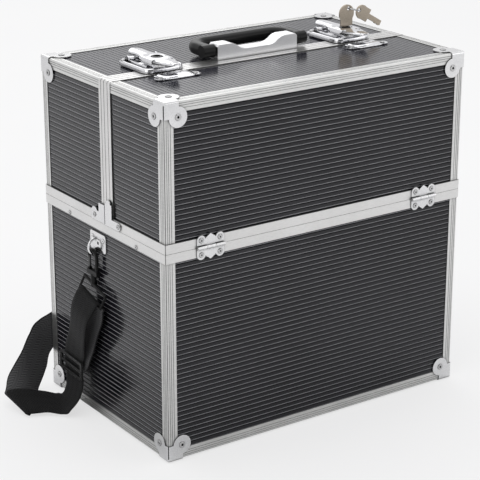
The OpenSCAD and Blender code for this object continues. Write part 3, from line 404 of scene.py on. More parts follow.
@dataclass(frozen=True)
class Plastic(Finish):
    """Moulded plastic with a fine grain.

    Attributes:
        grain: The scale of the grain.
        depth: The height of the grain in metres.
        sheen: The shader's specular level.
        edge: The radius of softened edges in metres.
        clouds: The scale of the slow variation.
    """

    grain: float = 700
    depth: float = 2e-5
    sheen: float = 0.35
    edge: float = 0.0004
    clouds: float = 25

    def build(self) -> bpy.types.Material:
        """Builds the plastic.

        Returns:
            The material.
        """
        nodes = MaterialNodes(self.name)
        where = nodes.coordinates()
        cloud = nodes.noise(where, self.clouds)
        nodes.bump(nodes.noise(where, self.grain, 4), 0.3, self.depth, self.edge)
        nodes.set(Base_Color=nodes.ramp(cloud, (0.3, self.dark), (0.7, self.light)),
                  Roughness=nodes.span(cloud, *self.rough), Specular_IOR_Level=self.sheen)
        return nodes.material


@dataclass(frozen=True)
class Ribbed(Finish):
    """Glossy sheet with painted light: a painted highlight on the floors of the grooves between the ribs and
    a painted shadow line along one edge of each rib.

    Attributes:
        axis: The direction that the boards face.
        levels: Distances of the grooves' floors from the origin, in metres, the outer board's first.
        sheen: The shader's specular level.
        groove: The colour of the groove, a painted highlight.
        first: The middle of the lowest groove, in metres.
        step: The distance between two grooves.
        lid: The middle of a lid's lowest groove and the distance between two of its grooves.
        dark_line: Where the painted shadow along a rib's edge starts and ends, as shares of the step.
        near: How far a groove's floor may lie from its level.
        raised: How far over the floor a board's outer face begins.
        dull: The roughness that a groove adds.
        clouds: The scale of the slow variation.
    """

    axis: Axis = Axis.Y
    levels: tuple[float, ...] = (0.0,)
    sheen: float = 0.4
    groove: Colour = (0.5, 0.5, 0.52)
    first: float = 0.01165
    step: float = 0.004911
    lid: Pair = (0.2163, 0.0049278)
    dark_line: Pair = (0.745, 0.91)
    near: float = 0.00012
    raised: float = 0.0003
    dull: float = 0.4
    clouds: float = 9

    def build(self) -> bpy.types.Material:
        """Builds the ribbed sheet.

        Returns:
            The material.
        """
        nodes = MaterialNodes(self.name)
        where = nodes.coordinates()
        parts = nodes.parts(where)
        depth = nodes.math("ABSOLUTE", parts[self.axis.value])
        floor = self.floors(nodes, depth)
        dark_line = self.painted_rib_shadows(nodes, parts[0 if self.axis is Axis.Z else 2], depth)
        cloud = nodes.noise(where, self.clouds, 2)
        face = nodes.ramp(cloud, (0.3, self.dark), (0.7, self.light))
        # Painted light: the grooves' floors take the light groove colour as a painted highlight, and the
        # black metallic line along one edge of each rib is a painted shadow.
        tone = nodes.mix(dark_line, nodes.mix(floor, face, (*self.groove, 1)), (0, 0, 0, 1))
        rough = nodes.math("ADD", nodes.span(cloud, *self.rough), nodes.math("MULTIPLY", floor, self.dull))
        nodes.set(Base_Color=tone, Metallic=dark_line, Roughness=rough, Specular_IOR_Level=self.sheen)
        return nodes.material

    def floors(self, nodes: Nodes, depth: Socket) -> Socket:
        """Finds the grooves' floors, which take the painted highlight.

        Args:
            nodes: The material's nodes.
            depth: The distance from the origin along the board's own axis.

        Returns:
            The mask's socket, 1 in a groove.
        """
        mask: object = 0.0
        for level in self.levels:
            off = nodes.math("ABSOLUTE", nodes.math("SUBTRACT", depth, level))
            mask = nodes.math("MAXIMUM", mask, nodes.math("LESS_THAN", off, self.near))
        return mask

    def painted_rib_shadows(self, nodes: Nodes, along: Socket, depth: Socket) -> Socket:
        """Finds the painted shadow line along each rib of the outer face.

        Args:
            nodes: The material's nodes.
            along: The place along the row of ribs.
            depth: The distance from the origin along the board's own axis.

        Returns:
            The mask's socket, 1 in a line.
        """
        first, step = self.first, self.step
        if self.axis is not Axis.Z:
            upper = nodes.math("GREATER_THAN", along, RIM)
            first = nodes.math("MULTIPLY_ADD", upper, self.lid[0] - self.first, self.first)
            step = nodes.math("MULTIPLY_ADD", upper, self.lid[1] - self.step, self.step)
        turn = nodes.math("FRACT", nodes.math("DIVIDE", nodes.math("SUBTRACT", along, first), step))
        line = nodes.math("MULTIPLY", nodes.math("GREATER_THAN", turn, self.dark_line[0]),
                          nodes.math("LESS_THAN", turn, self.dark_line[1]))
        outer = nodes.math("GREATER_THAN", depth, self.levels[0] + self.raised)
        return nodes.math("MULTIPLY", line, outer)


@dataclass(frozen=True)
class Woven(Finish):
    """Woven webbing, laid out by UV in metres: U across, V along, with U moved on for the reverse.

    Attributes:
        reverse: The darker and lighter colour of the reverse, lighter than the front, with the reverse's
            sheen painted into it.
        pitch: The distance between two threads across and along.
        stripes: The width of two herringbone stripes.
        fuzz: The scale of the loose fibres.
        shares: How much of the height comes from the weave and from the fibres.
        depth: The height of the weave in metres.
    """

    reverse: tuple[Colour, Colour] = ((0.035, 0.035, 0.036), (0.13, 0.13, 0.134))
    pitch: Pair = (0.0024, 0.0030)
    stripes: float = 0.0095
    fuzz: float = 1500
    shares: Pair = (0.5, 0.6)
    depth: float = 0.00022

    def build(self) -> bpy.types.Material:
        """Builds the webbing.

        Returns:
            The material.
        """
        nodes = MaterialNodes(self.name)
        where = nodes.coordinates("UV")
        across, along, _ = nodes.parts(where)
        fuzz = nodes.noise(where, self.fuzz, 4)
        threads = self.herringbone(nodes, across, along)
        height = nodes.math("ADD", nodes.math("MULTIPLY", threads, self.shares[0]),
                            nodes.math("MULTIPLY", fuzz, self.shares[1]))
        level = nodes.span(height, 0.25, 0.75)
        front, back = (nodes.ramp(level, (0.2, dark), (0.9, light))
                       for dark, light in ((self.dark, self.light), self.reverse))
        # The reverse gets its own lighter colours, with a painted sheen in them.
        tone = nodes.mix(nodes.math("GREATER_THAN", across, REVERSE_U / 2), front, back)
        nodes.bump(height, 0.8, self.depth)
        nodes.set(Base_Color=tone, Roughness=nodes.span(fuzz, *self.rough), Sheen_Weight=0.07,
                  Sheen_Roughness=0.4, Specular_IOR_Level=0.18)
        return nodes.material

    def herringbone(self, nodes: Nodes, across: Socket, along: Socket) -> Socket:
        """Draws threads that slant one way and the other in turn.

        Args:
            nodes: The material's nodes.
            across: The place across the webbing.
            along: The place along the webbing.

        Returns:
            The height's socket.
        """
        turn = 2 * math.pi
        rise = nodes.math("MULTIPLY", along, turn / self.pitch[1])
        waves = []
        for sign in (1, -1):
            slope = nodes.math("MULTIPLY", across, sign * turn / self.pitch[0])
            waves.append(nodes.math("SINE", nodes.math("ADD", slope, rise)))
        middle = nodes.math("SINE", nodes.math("MULTIPLY", across, turn / self.stripes))
        choice = nodes.add("Mix")
        for place, value in ((0, nodes.math("GREATER_THAN", middle, 0)), (2, waves[0]), (3, waves[1])):
            nodes.link(value, choice.inputs[place])
        return choice.outputs[0]


def grey(tone: float) -> Colour:
    """Gives a neutral colour."""
    return (tone, tone, tone)


BOARD = ((0.006, 0.006, 0.0085), (0.012, 0.012, 0.016), (0.12, 0.2))
# Painted reflection: the top boards' copy of the board colour is lighter and bluer, standing in for the
# bright light that the tops reflect; the bottom board takes it too.
LIT_TOP_BOARD = ((0.022, 0.022, 0.03), (0.036, 0.036, 0.047), (0.12, 0.2))
FINISHES: tuple[Finish, ...] = (
    Metal("edge", "edge_aluminium", (0.66, 0.66, 0.65), (0.79, 0.79, 0.775), (0.28, 0.38),
          grain=(0.2, 0.2, 1), dark_line=0.00045),
    Metal("band", "band_aluminium", (0.68, 0.675, 0.665), (0.8, 0.795, 0.785), (0.26, 0.36),
          grain=(0.3, 0.3, 1.5), dark_line=0.00045),
    Metal("cap", "cap_steel", (0.66, 0.66, 0.67), grey(0.86), (0.1, 0.2), depth=4e-6),
    # Painted shade: the rivets' steel is darker than the caps' steel, for the shade in their hollow cores
    # and the dark reflections on their domes.
    Metal("rivet", "rivet_steel", grey(0.4), grey(0.62), (0.1, 0.22)),
    Metal("chrome", "latch_chrome", (0.7, 0.7, 0.72), (0.86, 0.86, 0.88), (0.05, 0.13),
          depth=1e-6, edge=0.0005),
    Metal("arm", "arm_steel", grey(0.5), grey(0.68), (0.3, 0.45)),
    Metal("key", "key_nickel", (0.36, 0.31, 0.25), (0.52, 0.46, 0.38), (0.3, 0.45), depth=4e-6),
    Metal("saddle", "latch_chrome", (0.84, 0.84, 0.85), (0.95, 0.95, 0.96), (0.3, 0.4),
          depth=1e-6, edge=0.0005),
    Metal("barrel", "gate_steel", grey(0.015), grey(0.04), (0.25, 0.4)),
    Metal("gate", "gate_steel", grey(0.05), grey(0.12), (0.25, 0.4)),
    Plastic("edging", "edging_black", grey(0.01), grey(0.025), (0.5, 0.65)),
    Plastic("tray", "tray_black", (0.02, 0.02, 0.022), (0.04, 0.04, 0.042), (0.5, 0.62)),
    Plastic("buckle", "buckle_black", grey(0.004), grey(0.009), (0.22, 0.36), sheen=0.16),
    # Painted highlight: the adjuster's copy of the buckle plastic is lighter than the buckle's, so that it
    # shows highlights.
    Plastic("slider", "buckle_black", grey(0.012), grey(0.02), (0.2, 0.3), sheen=0.7),
    Plastic("grip", "grip_black", grey(0.005), grey(0.01), (0.24, 0.34), grain=500, depth=3e-5, sheen=0.22),
    # On the boards the light groove colour is a painted highlight and the black line along each rib a
    # painted shadow.
    Ribbed("board_y", "ribbed_black", *BOARD, Axis.Y, (HALF_Y - GROOVE,)),
    Ribbed("board_x", "ribbed_black", *BOARD, Axis.X, (HALF_X - GROOVE,), sheen=0.68),
    Ribbed("board_z", "ribbed_black", *LIT_TOP_BOARD, Axis.Z, (TOP - GROOVE, FOOT + GROOVE), sheen=0.5,
           groove=(0.55, 0.55, 0.6), first=-0.16935, step=0.0049087),
    Woven("webbing", "webbing_black", grey(0.002), (0.019, 0.019, 0.02), (0.6, 0.85)),
)
# The nodes that don't take the first finish of their slot
OWN_FINISH = {
    "base_end_boards": "board_x", "front_lid_end_boards": "board_x", "rear_lid_end_boards": "board_x",
    "front_lid_top_board": "board_z", "rear_lid_top_board": "board_z", "base_bottom_board": "board_z",
    "handle_bracket": "saddle", "lock_plug_left": "barrel", "lock_plug_right": "barrel",
    "strap_adjuster": "slider"}


def finish_of(node: str) -> str:
    """Names the finish of a CAD node.

    Args:
        node: The node's name.

    Returns:
        The finish's name.
    """
    if node in OWN_FINISH:
        return OWN_FINISH[node]
    slots = {piece["node"]: piece["material_slot"] for piece in frame["record"]["subparts"]}
    shared = [finish for finish in FINISHES if finish.name not in OWN_FINISH.values()]
    return next(finish.name for finish in shared if finish.slot == slots[node])


class Paint:
    """Builds each finish once and hands it out."""

    def __init__(self) -> None:
        """Builds the materials."""
        self.by_name = {finish.name: (finish, finish.build()) for finish in FINISHES}

    def on(self, obj: Object, name: str) -> Object:
        """Gives an object a finish.

        Args:
            obj: The object.
            name: The finish's name.

        Returns:
            The same object.
        """
        finish, material = self.by_name[name]
        if not obj.material_slots:
            obj.data.materials.append(material)
        for place in obj.material_slots:
            place.material = material
        return obj

    def fit(self, obj: Object, name: str, body: str, node: str) -> Object:
        """Finishes a piece and puts it in the place of a CAD node.

        Args:
            obj: The piece.
            name: The finish's name.
            body: The body that the piece rides on.
            node: The CAD node that it replaces.

        Returns:
            The same piece.
        """
        self.on(obj, name)
        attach(obj, body)
        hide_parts(node)
        LOG.info("built %s", obj.name)
        return obj

    def dress_frame(self) -> None:
        """Gives every CAD node its finish."""
        for name, obj in frame["nodes"].items():
            self.on(obj, finish_of(name))
            LOG.info("painted %s", name)


def new_object(name: str, bm: BMesh, smooth: bool = True) -> Object:
    """Makes an object of a bmesh.

    Args:
        name: The object's name.
        bm: The mesh, which is freed.
        smooth: Whether the faces are shaded smooth.

    Returns:
        The new object.
    """
    mesh = bpy.data.meshes.new(name)
    bmesh.ops.recalc_face_normals(bm, faces=bm.faces)
    bm.to_mesh(mesh)
    bm.free()
    if smooth:
        mesh.polygons.foreach_set("use_smooth", [True] * len(mesh.polygons))
    obj = bpy.data.objects.new(name, mesh)
    bpy.context.scene.collection.objects.link(obj)
    return obj


def shade_by_angle(obj: Object, degrees: float) -> None:
    """Shades a mesh smooth and keeps its sharp edges sharp.

    Args:
        obj: The object.
        degrees: The angle from which an edge is sharp.
    """
    bm = bmesh.new()
    bm.from_mesh(obj.data)
    for face in bm.faces:
        face.smooth = True
    for edge in bm.edges:
        edge.smooth = len(edge.link_faces) == 2 and edge.calc_face_angle(4) < math.radians(degrees)
    bm.to_mesh(obj.data)
    bm.free()


def cut(obj: Object, tool: Object) -> None:
    """Cuts one mesh out of another and removes the tool.

    Args:
        obj: The object to cut.
        tool: The object whose shape is taken away.
    """
    step = obj.modifiers.new("cut", "BOOLEAN")
    step.operation = "DIFFERENCE"
    step.solver = "EXACT"
    step.object = tool
    bpy.context.view_layer.update()
    shaped = bpy.data.meshes.new_from_object(obj.evaluated_get(bpy.context.evaluated_depsgraph_get()))
    obj.modifiers.clear()
    obj.data = shaped
    bpy.data.objects.remove(tool)


def at(place: Vector, x: float, y: float, z: float) -> Matrix:
    """Gives the matrix of a point in millimetres from a place in millimetres."""
    return Matrix.Translation((place + Vector((x, y, z))) * MM)


def ease(share: float) -> float:
    """Gives a smooth rise from 0 to 1."""
    return (1 - math.cos(math.pi * share)) / 2


def rounded(corners: tuple[Corner, ...], inset: float = 0.0, steps: int = 6) -> list[Pair]:
    """Rounds the corners of a convex outline that runs anticlockwise.

    Args:
        corners: X, Y and radius of each corner.
        inset: The distance that the outline moves inwards.
        steps: The number of spans in each corner.

    Returns:
        The outline's points, as many for any inset.
    """
    points = []
    count = len(corners)
    for k, (x, y, radius) in enumerate(corners):
        here = Vector((x, y))
        into = (here - Vector(corners[k - 1][:2])).normalized()
        out = (Vector(corners[(k + 1) % count][:2]) - here).normalized()
        start = math.atan2(-into.x, into.y)
        turn = math.acos(max(min(into.dot(out), 1), -1))
        reach = radius * math.tan(turn / 2)
        centre = here - into * reach + Vector((-into.y, into.x)) * radius
        for i in range(steps + 1):
            angle = start + turn * i / steps
            point = centre + (radius - inset) * Vector((math.cos(angle), math.sin(angle)))
            points.append((point.x, point.y))
    return points


def bridge(bm: BMesh, rings: list[list[bmesh.types.BMVert]]) -> None:
    """Joins each closed ring to the next one with faces.

    Args:
        bm: The mesh to add to.
        rings: The rings of vertices.
    """
    count = len(rings[0])
    for near, far in zip(rings, rings[1:]):
        for k in range(count):
            bm.faces.new((near[k], near[(k + 1) % count], far[(k + 1) % count], far[k]))


def pressed(bm: BMesh, place: Vector, bands: list[tuple[tuple[Corner, ...], Profile]], sole: Profile,
            middle: float) -> None:
    """Adds a piece of sheet pressed into shape, as a closed skin.

    Args:
        bm: The mesh to add to.
        place: The origin of the outlines, in millimetres.
        bands: Outlines, each with the inset and height of its rings.
        sole: Share of the last ring's size and height, over the middle and back under it.
        middle: The Y that the sole shrinks to.
    """
    rings = [[(x, y, z) for x, y in rounded(outline, inset)] for outline, band in bands for inset, z in band]
    last = rings[-1]
    rings += [[(x * share, middle + (y - middle) * share, z) for x, y, _ in last] for share, z in sole]
    made = [[bm.verts.new((Vector(point) + place) * MM) for point in ring] for ring in rings]
    bridge(bm, made + made[:1])


def slab(bm: BMesh, low: Point, high: Point, place: Vector, round_by: float = 0.35) -> None:
    """Adds a small bar with bevelled edges.

    Args:
        bm: The mesh to add to.
        low: The lowest corner in millimetres.
        high: The highest corner in millimetres.
        place: The origin of the corners, in millimetres.
        round_by: The width of the bevel.
    """
    size = Vector(high) - Vector(low)
    middle = (Vector(high) + Vector(low)) / 2
    stretch = Matrix.Diagonal((*(size * MM), 1))
    made = bmesh.ops.create_cube(bm, size=1, matrix=at(place, *middle) @ stretch)
    edges = {edge for vert in made["verts"] for edge in vert.link_edges}
    bmesh.ops.bevel(bm, geom=list(edges), offset=round_by * MM, segments=2, profile=0.5, affect="EDGES")


def tube(bm: BMesh, place: Matrix, inner: float, outer: float, half: float, sides: int = 32) -> None:
    """Adds a tube along the local Z axis.

    Args:
        bm: The mesh to add to.
        place: The tube's middle and direction.
        inner: The bore's radius in millimetres.
        outer: The outer radius.
        half: Half the length.
        sides: The number of sides.
    """
    rings = []
    for radius, z in ((inner, -half), (outer, -half), (outer, half), (inner, half)):
        rings.append([bm.verts.new(place @ (Vector((radius * math.cos(a), radius * math.sin(a), z)) * MM))
                      for a in (2 * math.pi * k / sides for k in range(sides))])
    bridge(bm, rings + rings[:1])


def spline(points: list[Vector], t: float) -> Vector:
    """Reads a smooth curve through points.

    Args:
        points: The points.
        t: The place, from 0 to the number of spans.

    Returns:
        The point at that place.
    """
    i = min(int(t), len(points) - 2)
    u = t - i
    a, b, c, d = (points[min(max(i + k, 0), len(points) - 1)] for k in (-1, 0, 1, 2))
    return 0.5 * (2 * b + (c - a) * u + (2 * a - 5 * b + 4 * c - d) * u * u + (3 * b - a - 3 * c + d) * u**3)


def turned(stations: list[Station]) -> list[Station]:
    """Mirrors the left side's run of stations and reverses it, so that it goes on from the left one."""
    return [((-c[0], c[1], c[2]), (-w[0], w[1], w[2])) for c, w in reversed(stations)]


@dataclass
class Strap:
    """The webbing strap: adjuster, ring, floor, fold and round the back to the other hook.

    Attributes:
        width: The webbing's width.
        thickness: The webbing's thickness.
        loose: From the adjuster up to the ring, centres in millimetres.
        sewn: From the sewn end up to the ring.
        run: From the ring to the floor and behind the case.
        rear: The middle of the arch behind the case.
        parts: Slices between two stations.
        across: Slices over the width.
        selvage: How far the rounded edge reaches in.
        blunt: The share of the thickness that the edge keeps.
    """

    width: float = 0.036
    thickness: float = 0.0016
    loose: list[Station] = field(default_factory=lambda: [
        ((-191.6, 44, 52), (0, 1, 0.05)), ((-190.2, 37, 61), (0, 1, 0.05)), ((-188.6, 28, 79), (0, 1, 0.1)),
        ((-187.6, 23, 92), (0, 1, 0.15)), ((-186.8, 18.5, 104), (0, 1, 0.2)),
        ((-186.2, 12.5, 117), (0, 1, 0.28)), ((-186.3, 11.5, 128), (0, 1, 0.3))])
    sewn: list[Station] = field(default_factory=lambda: [
        ((-193.4, 35, 75), (0.05, 1, 0.09)), ((-194.8, 30.5, 83), (0.1, 1, 0.1)),
        ((-197.5, 23, 98), (0.1, 1, 0.15)), ((-195, 19, 110), (0.05, 1, 0.2)),
        ((-189.5, 14.5, 121), (0, 1, 0.27)), ((-186.6, 12, 128.5), (0, 1, 0.3))])
    run: list[Station] = field(default_factory=lambda: [
        ((-187.1, 13.2, 134), (0, 1, 0.29)), ((-189.5, 14, 135.45), (0, 1, 0.29)),
        ((-191.4, 14.5, 134.4), (0, 1, 0.29)), ((-192.3, 15, 132.4), (0, 1, 0.3)),
        ((-195.2, 17, 126), (0, 1, 0.3)), ((-199, 19.5, 115), (0.05, 1, 0.22)),
        ((-200, 22, 100), (0.1, 1, 0.15)), ((-197, 31, 82), (0.1, 1, 0.1)),
        ((-193.7, 41.5, 64), (0, 1, 0.08)), ((-193.6, 44.5, 50), (0, 1, 0.05)),
        ((-193.6, 43.5, 34), (0.02, 1, 0.02)), ((-196.5, 43.5, 20), (0.12, 1, 0.02)),
        ((-202, 47, 9.7), (0.25, 0.97, 0.06)), ((-207, 53.3, 6), (0.3, 0.94, 0.16)),
        ((-218, 61.8, 8), (0.3, 0.93, 0.23)), ((-231, 67.5, 10), (0.12, 0.93, 0.35)),
        ((-240.3, 70.8, 10.9), (-0.04, 0.91, 0.41)), ((-244.8, 71.6, 11.1), (-0.14, 0.9, 0.42)),
        ((-246.8, 72.8, 9.5), (-0.16, 0.9, 0.4)), ((-245.6, 74.4, 7.6), (-0.16, 0.94, 0.27)),
        ((-238.8, 81.2, 9.5), (-0.2, 0.9, 0.36)), ((-228.6, 91.5, 17.4), (-0.27, 0.68, 0.68)),
        ((-214.2, 102, 29.5), (-0.24, 0.34, 0.91)), ((-200.8, 110, 43.5), (-0.25, 0.27, 0.93)),
        ((-188.5, 116.8, 55.5), (-0.22, 0.12, 0.97)), ((-170, 117.2, 65), (-0.25, 0, 0.97)),
        ((-120, 117.2, 85), (-0.22, 0, 0.97))])
    rear: Station = ((0, 117.2, 100), (0, 0, 1))
    parts: int = 10
    across: int = 10
    selvage: float = 0.001
    blunt: float = 0.4

    def outline(self) -> list[Pair]:
        """Draws the webbing's section, with rounded selvages.

        Returns:
            Places across and over the webbing, in metres.
        """
        half, thick = self.width / 2, self.thickness / 2
        step = 2 * (half - self.selvage) / self.across
        top = [(-half + self.selvage + i * step, thick) for i in range(self.across + 1)]
        edge = thick * self.blunt
        bottom = [(x, -z) for x, z in reversed(top)]
        return [(-half, -edge), (-half, edge)] + top + [(half, edge), (half, -edge)] + bottom

    def sections(self, bm: BMesh) -> tuple[list[list[bmesh.types.BMVert]], list[float]]:
        """Lays the webbing's sections along its course.

        Args:
            bm: The mesh to add to.

        Returns:
            The sections' rings, and the length of webbing up to each.
        """
        stations = self.loose + self.run + [self.rear] + turned(self.sewn + self.run)
        centres = [Vector(centre) * MM for centre, _ in stations]
        crossings = [Vector(crossing).normalized() for _, crossing in stations]
        count = (len(centres) - 1) * self.parts
        line = [spline(centres, k / self.parts) for k in range(count + 1)]
        rings, lengths, length = [], [], 0.0
        for k, here in enumerate(line):
            ahead = (line[min(k + 1, count)] - line[max(k - 1, 0)]).normalized()
            crossing = spline(crossings, k / self.parts).normalized()
            over = ahead.cross(crossing)
            wide = crossing / over.length
            over.normalize()
            length += (here - line[k - 1]).length if k else 0.0
            lengths.append(length)
            rings.append([bm.verts.new(here + wide * x + over * z) for x, z in self.outline()])
        return rings, lengths

    def build(self, paint: Paint) -> Object:
        """Builds the strap over its CAD band.

        Args:
            paint: The finishes.

        Returns:
            The strap.
        """
        bm = bmesh.new()
        layer = bm.loops.layers.uv.new("weave")
        rings, lengths = self.sections(bm)
        outline = self.outline()
        n = len(outline)
        for k, (near, far) in enumerate(zip(rings, rings[1:])):
            for j in range(n):
                a, b = j, (j + 1) % n
                face = bm.faces.new((near[a], near[b], far[b], far[a]))
                reverse = REVERSE_U if 1 < j < self.across + 2 else 0.0
                for loop, (ring, corner) in zip(face.loops, ((k, a), (k, b), (k + 1, b), (k + 1, a))):
                    loop[layer].uv = (outline[corner][0] + reverse, lengths[ring])
        for ring in (rings[0], list(reversed(rings[-1]))):
            bm.faces.new(ring)
        strap = new_object("shoulder_webbing", bm)
        paint.fit(strap, "webbing", "base", "shoulder_strap")
        return strap


@dataclass
class LatchLever:
    """A pressed chrome tongue with rolled edges, a ring round the lock and a folded nose.

    Attributes:
        side: The side of the case.
        x: The latch's distance from the middle, in millimetres, like all the sizes below.
        top: The height of the tongue over the case.
        sheet: The thickness of the sheet.
        roll: The radius of the rolled edge.
        ends: Where the first and the last section stand.
        spacing: The distance between sections, and its growth at the round ends.
        tail: The middle and the radius of the round rear end.
        waist: Where the waist starts, where it is narrowest, and half its width there.
        shoulder: Where the widest part starts and ends, and half its width.
        taper: The narrowing towards the nose and the length of its whole curve.
        nose: The middle of the round nose.
        belly: Place and height of the lower edge's corners.
        crown: How fast the top falls to its sides, and from where to where it doesn't.
        ring: Height, radius and width of the pressed ring.
        lock: The place and the radius of the lock's opening.
        slot: The lowest and the highest corner of the slot in the nose.
        knuckle: The outer radius and half the length of the pin's tube.
        columns: Faces across the top.
        crowd: How many sections stand closer together at the nose and at the tail.
        most: The most of the half width that the rolled edge and the sheet take.
        least: The least half width, flange, wall and roof that a section keeps.
    """

    side: str
    x: float
    top: float = 12.6
    sheet: float = 1.2
    roll: float = 2.2
    ends: Pair = (-38.1, 44.28)
    spacing: Pair = (0.75, 0.02)
    tail: Pair = (35.3, 9.0)
    waist: tuple[float, float, float] = (33.0, 24.0, 8.2)
    shoulder: tuple[float, float, float] = (4.0, -6.0, 13.2)
    taper: Pair = (15.6, 56.0)
    nose: float = -32.3
    belly: Profile = (
        (-39, 11.5), (-38, 11.2), (-31, 9.2), (-25, 7.8), (-20, 7), (-14, 6.6), (18, 6.6), (22, 4.6),
        (29, 4.6), (34, 9.8), (46, 10.2))
    crown: tuple[float, float, float] = (0.012, -12.0, 14.0)
    ring: tuple[float, float, float] = (0.5, 8.2, 1.3)
    lock: Pair = (-1.5, 5.06)
    slot: tuple[Point, Point] = ((-5.5, -33.4, 11.9), (5.5, -32.4, 14))
    knuckle: Pair = (2.6, 14.9)
    columns: int = 26
    crowd: tuple[int, int] = (12, 9)
    most: Pair = (0.9, 0.6)
    least: tuple[float, float, float, float] = (0.25, 0.9, 0.2, 0.1)

    def half(self, y: float) -> float:
        """Gives half the width of the tongue.

        Args:
            y: The place along the tongue.

        Returns:
            The half width.
        """
        rear, radius = self.tail
        waist_from, waist_at, waist = self.waist
        wide_from, wide_to, wide = self.shoulder
        if y > rear:
            return math.sqrt(max(radius**2 - (y - rear) ** 2, 0.0))
        if y > waist_from:
            return radius
        if y > waist_at:
            share = (waist_from - y) / (waist_from - waist_at)
            return radius - (radius - waist) * math.sin(math.pi / 2 * share)
        if y > wide_from:
            return waist + (wide - waist) * ease((waist_at - y) / (waist_at - wide_from))
        if y > wide_to:
            return wide
        narrowing, length = self.taper
        if y > self.nose:
            return wide - narrowing * ease((wide_to - y) / length)
        nose_radius = wide - narrowing * ease((wide_to - self.nose) / length)
        return math.sqrt(max(nose_radius**2 - (y - self.nose) ** 2, 0.0))

    def lower(self, y: float) -> float:
        """Gives the height of the tongue's lower edge.

        Args:
            y: The place along the tongue.

        Returns:
            The height.
        """
        for (y0, z0), (y1, z1) in zip(self.belly, self.belly[1:]):
            if y <= y1:
                return z0 + (z1 - z0) * max(y - y0, 0) / (y1 - y0)
        return self.belly[-1][1]

    def relief(self, x: float, y: float) -> float:
        """Gives the pressed relief of the top.

        Args:
            x: The place across.
            y: The place along.

        Returns:
            The height over the flat top.
        """
        height, radius, width = self.ring
        fall, flat_from, flat_to = self.crown
        ring = height * math.exp(-((math.hypot(x, y - self.lock[0]) - radius) / width) ** 2)
        return ring - (0.0 if flat_from <= y <= flat_to else fall * x * x)

    def section(self, y: float) -> list[Pair]:
        """Draws the folded sheet at one place.

        Args:
            y: The place along the tongue.

        Returns:
            Places across and heights.
        """
        least_half, flange, wall, least_roof = self.least
        half = max(self.half(y), least_half)
        low = min(self.lower(y), self.top - flange)
        roll = min(self.roll, half * self.most[0], self.top - low - wall)
        edge = self.top - roll
        ring = [(-half, low), (-half, edge)]
        for k in range(self.columns + 1):
            x = -half + 2 * half * k / self.columns
            over = max(abs(x) - (half - roll), 0)
            ring.append((x, edge + math.sqrt(max(roll * roll - over * over, 0)) + self.relief(x, y)))
        inner = half - min(self.sheet, half * self.most[1])
        roof = max(self.top - self.sheet, low + least_roof)
        return ring + [(half, edge), (half, low), (inner, low), (inner, roof), (0, roof), (-inner, roof),
                       (-inner, low)]

    def places(self) -> list[float]:
        """Chooses where the sections stand, closer together at the round ends.

        Returns:
            The places along the tongue, from the nose to the tail.
        """
        front, rear = self.ends
        step, growth = self.spacing
        at_nose, at_tail = self.crowd
        start, stop = front + growth * at_nose**2, rear - growth * at_tail**2
        places = [front + growth * k * k for k in range(at_nose)]
        places += [start + step * k for k in range(int((stop - start) / step) + 1)]
        return places + [rear - growth * k * k for k in reversed(range(at_tail))]

    def openings(self, place: Vector) -> Object:
        """Makes the tool that cuts the lock's opening and the slot.

        Args:
            place: The latch's place in millimetres.

        Returns:
            The tool.
        """
        along, radius = self.lock
        hole = bmesh.new()
        bmesh.ops.create_cone(hole, cap_ends=True, segments=48, radius1=radius * MM, radius2=radius * MM,
                              depth=4 * self.top * MM, matrix=at(place, 0, along, 0))
        slab(hole, *self.slot, place, 0.1)
        return new_object("hole", hole)

    def build(self, paint: Paint) -> Object:
        """Builds the tongue with its knuckle.

        Args:
            paint: The finishes.

        Returns:
            The tongue.
        """
        place = Vector((self.x, 0, LID_TOP))
        bm = bmesh.new()
        rings = [[bm.verts.new((place + Vector((x, y, z))) * MM) for x, z in self.section(y)]
                 for y in self.places()]
        bridge(bm, rings)
        for ring in (rings[0], list(reversed(rings[-1]))):
            bm.faces.new(ring)
        tube(bm, at(place, 0, PIN_Y, PIN_UP) @ Matrix.Rotation(math.pi / 2, 4, "Y"), PIN_BORE, *self.knuckle)
        obj = new_object(f"latch_tongue_{self.side}", bm)
        cut(obj, self.openings(place))
        shade_by_angle(obj, 40)
        return paint.fit(obj, "chrome", f"{self.side}_lever", f"latch_lever_{self.side}")


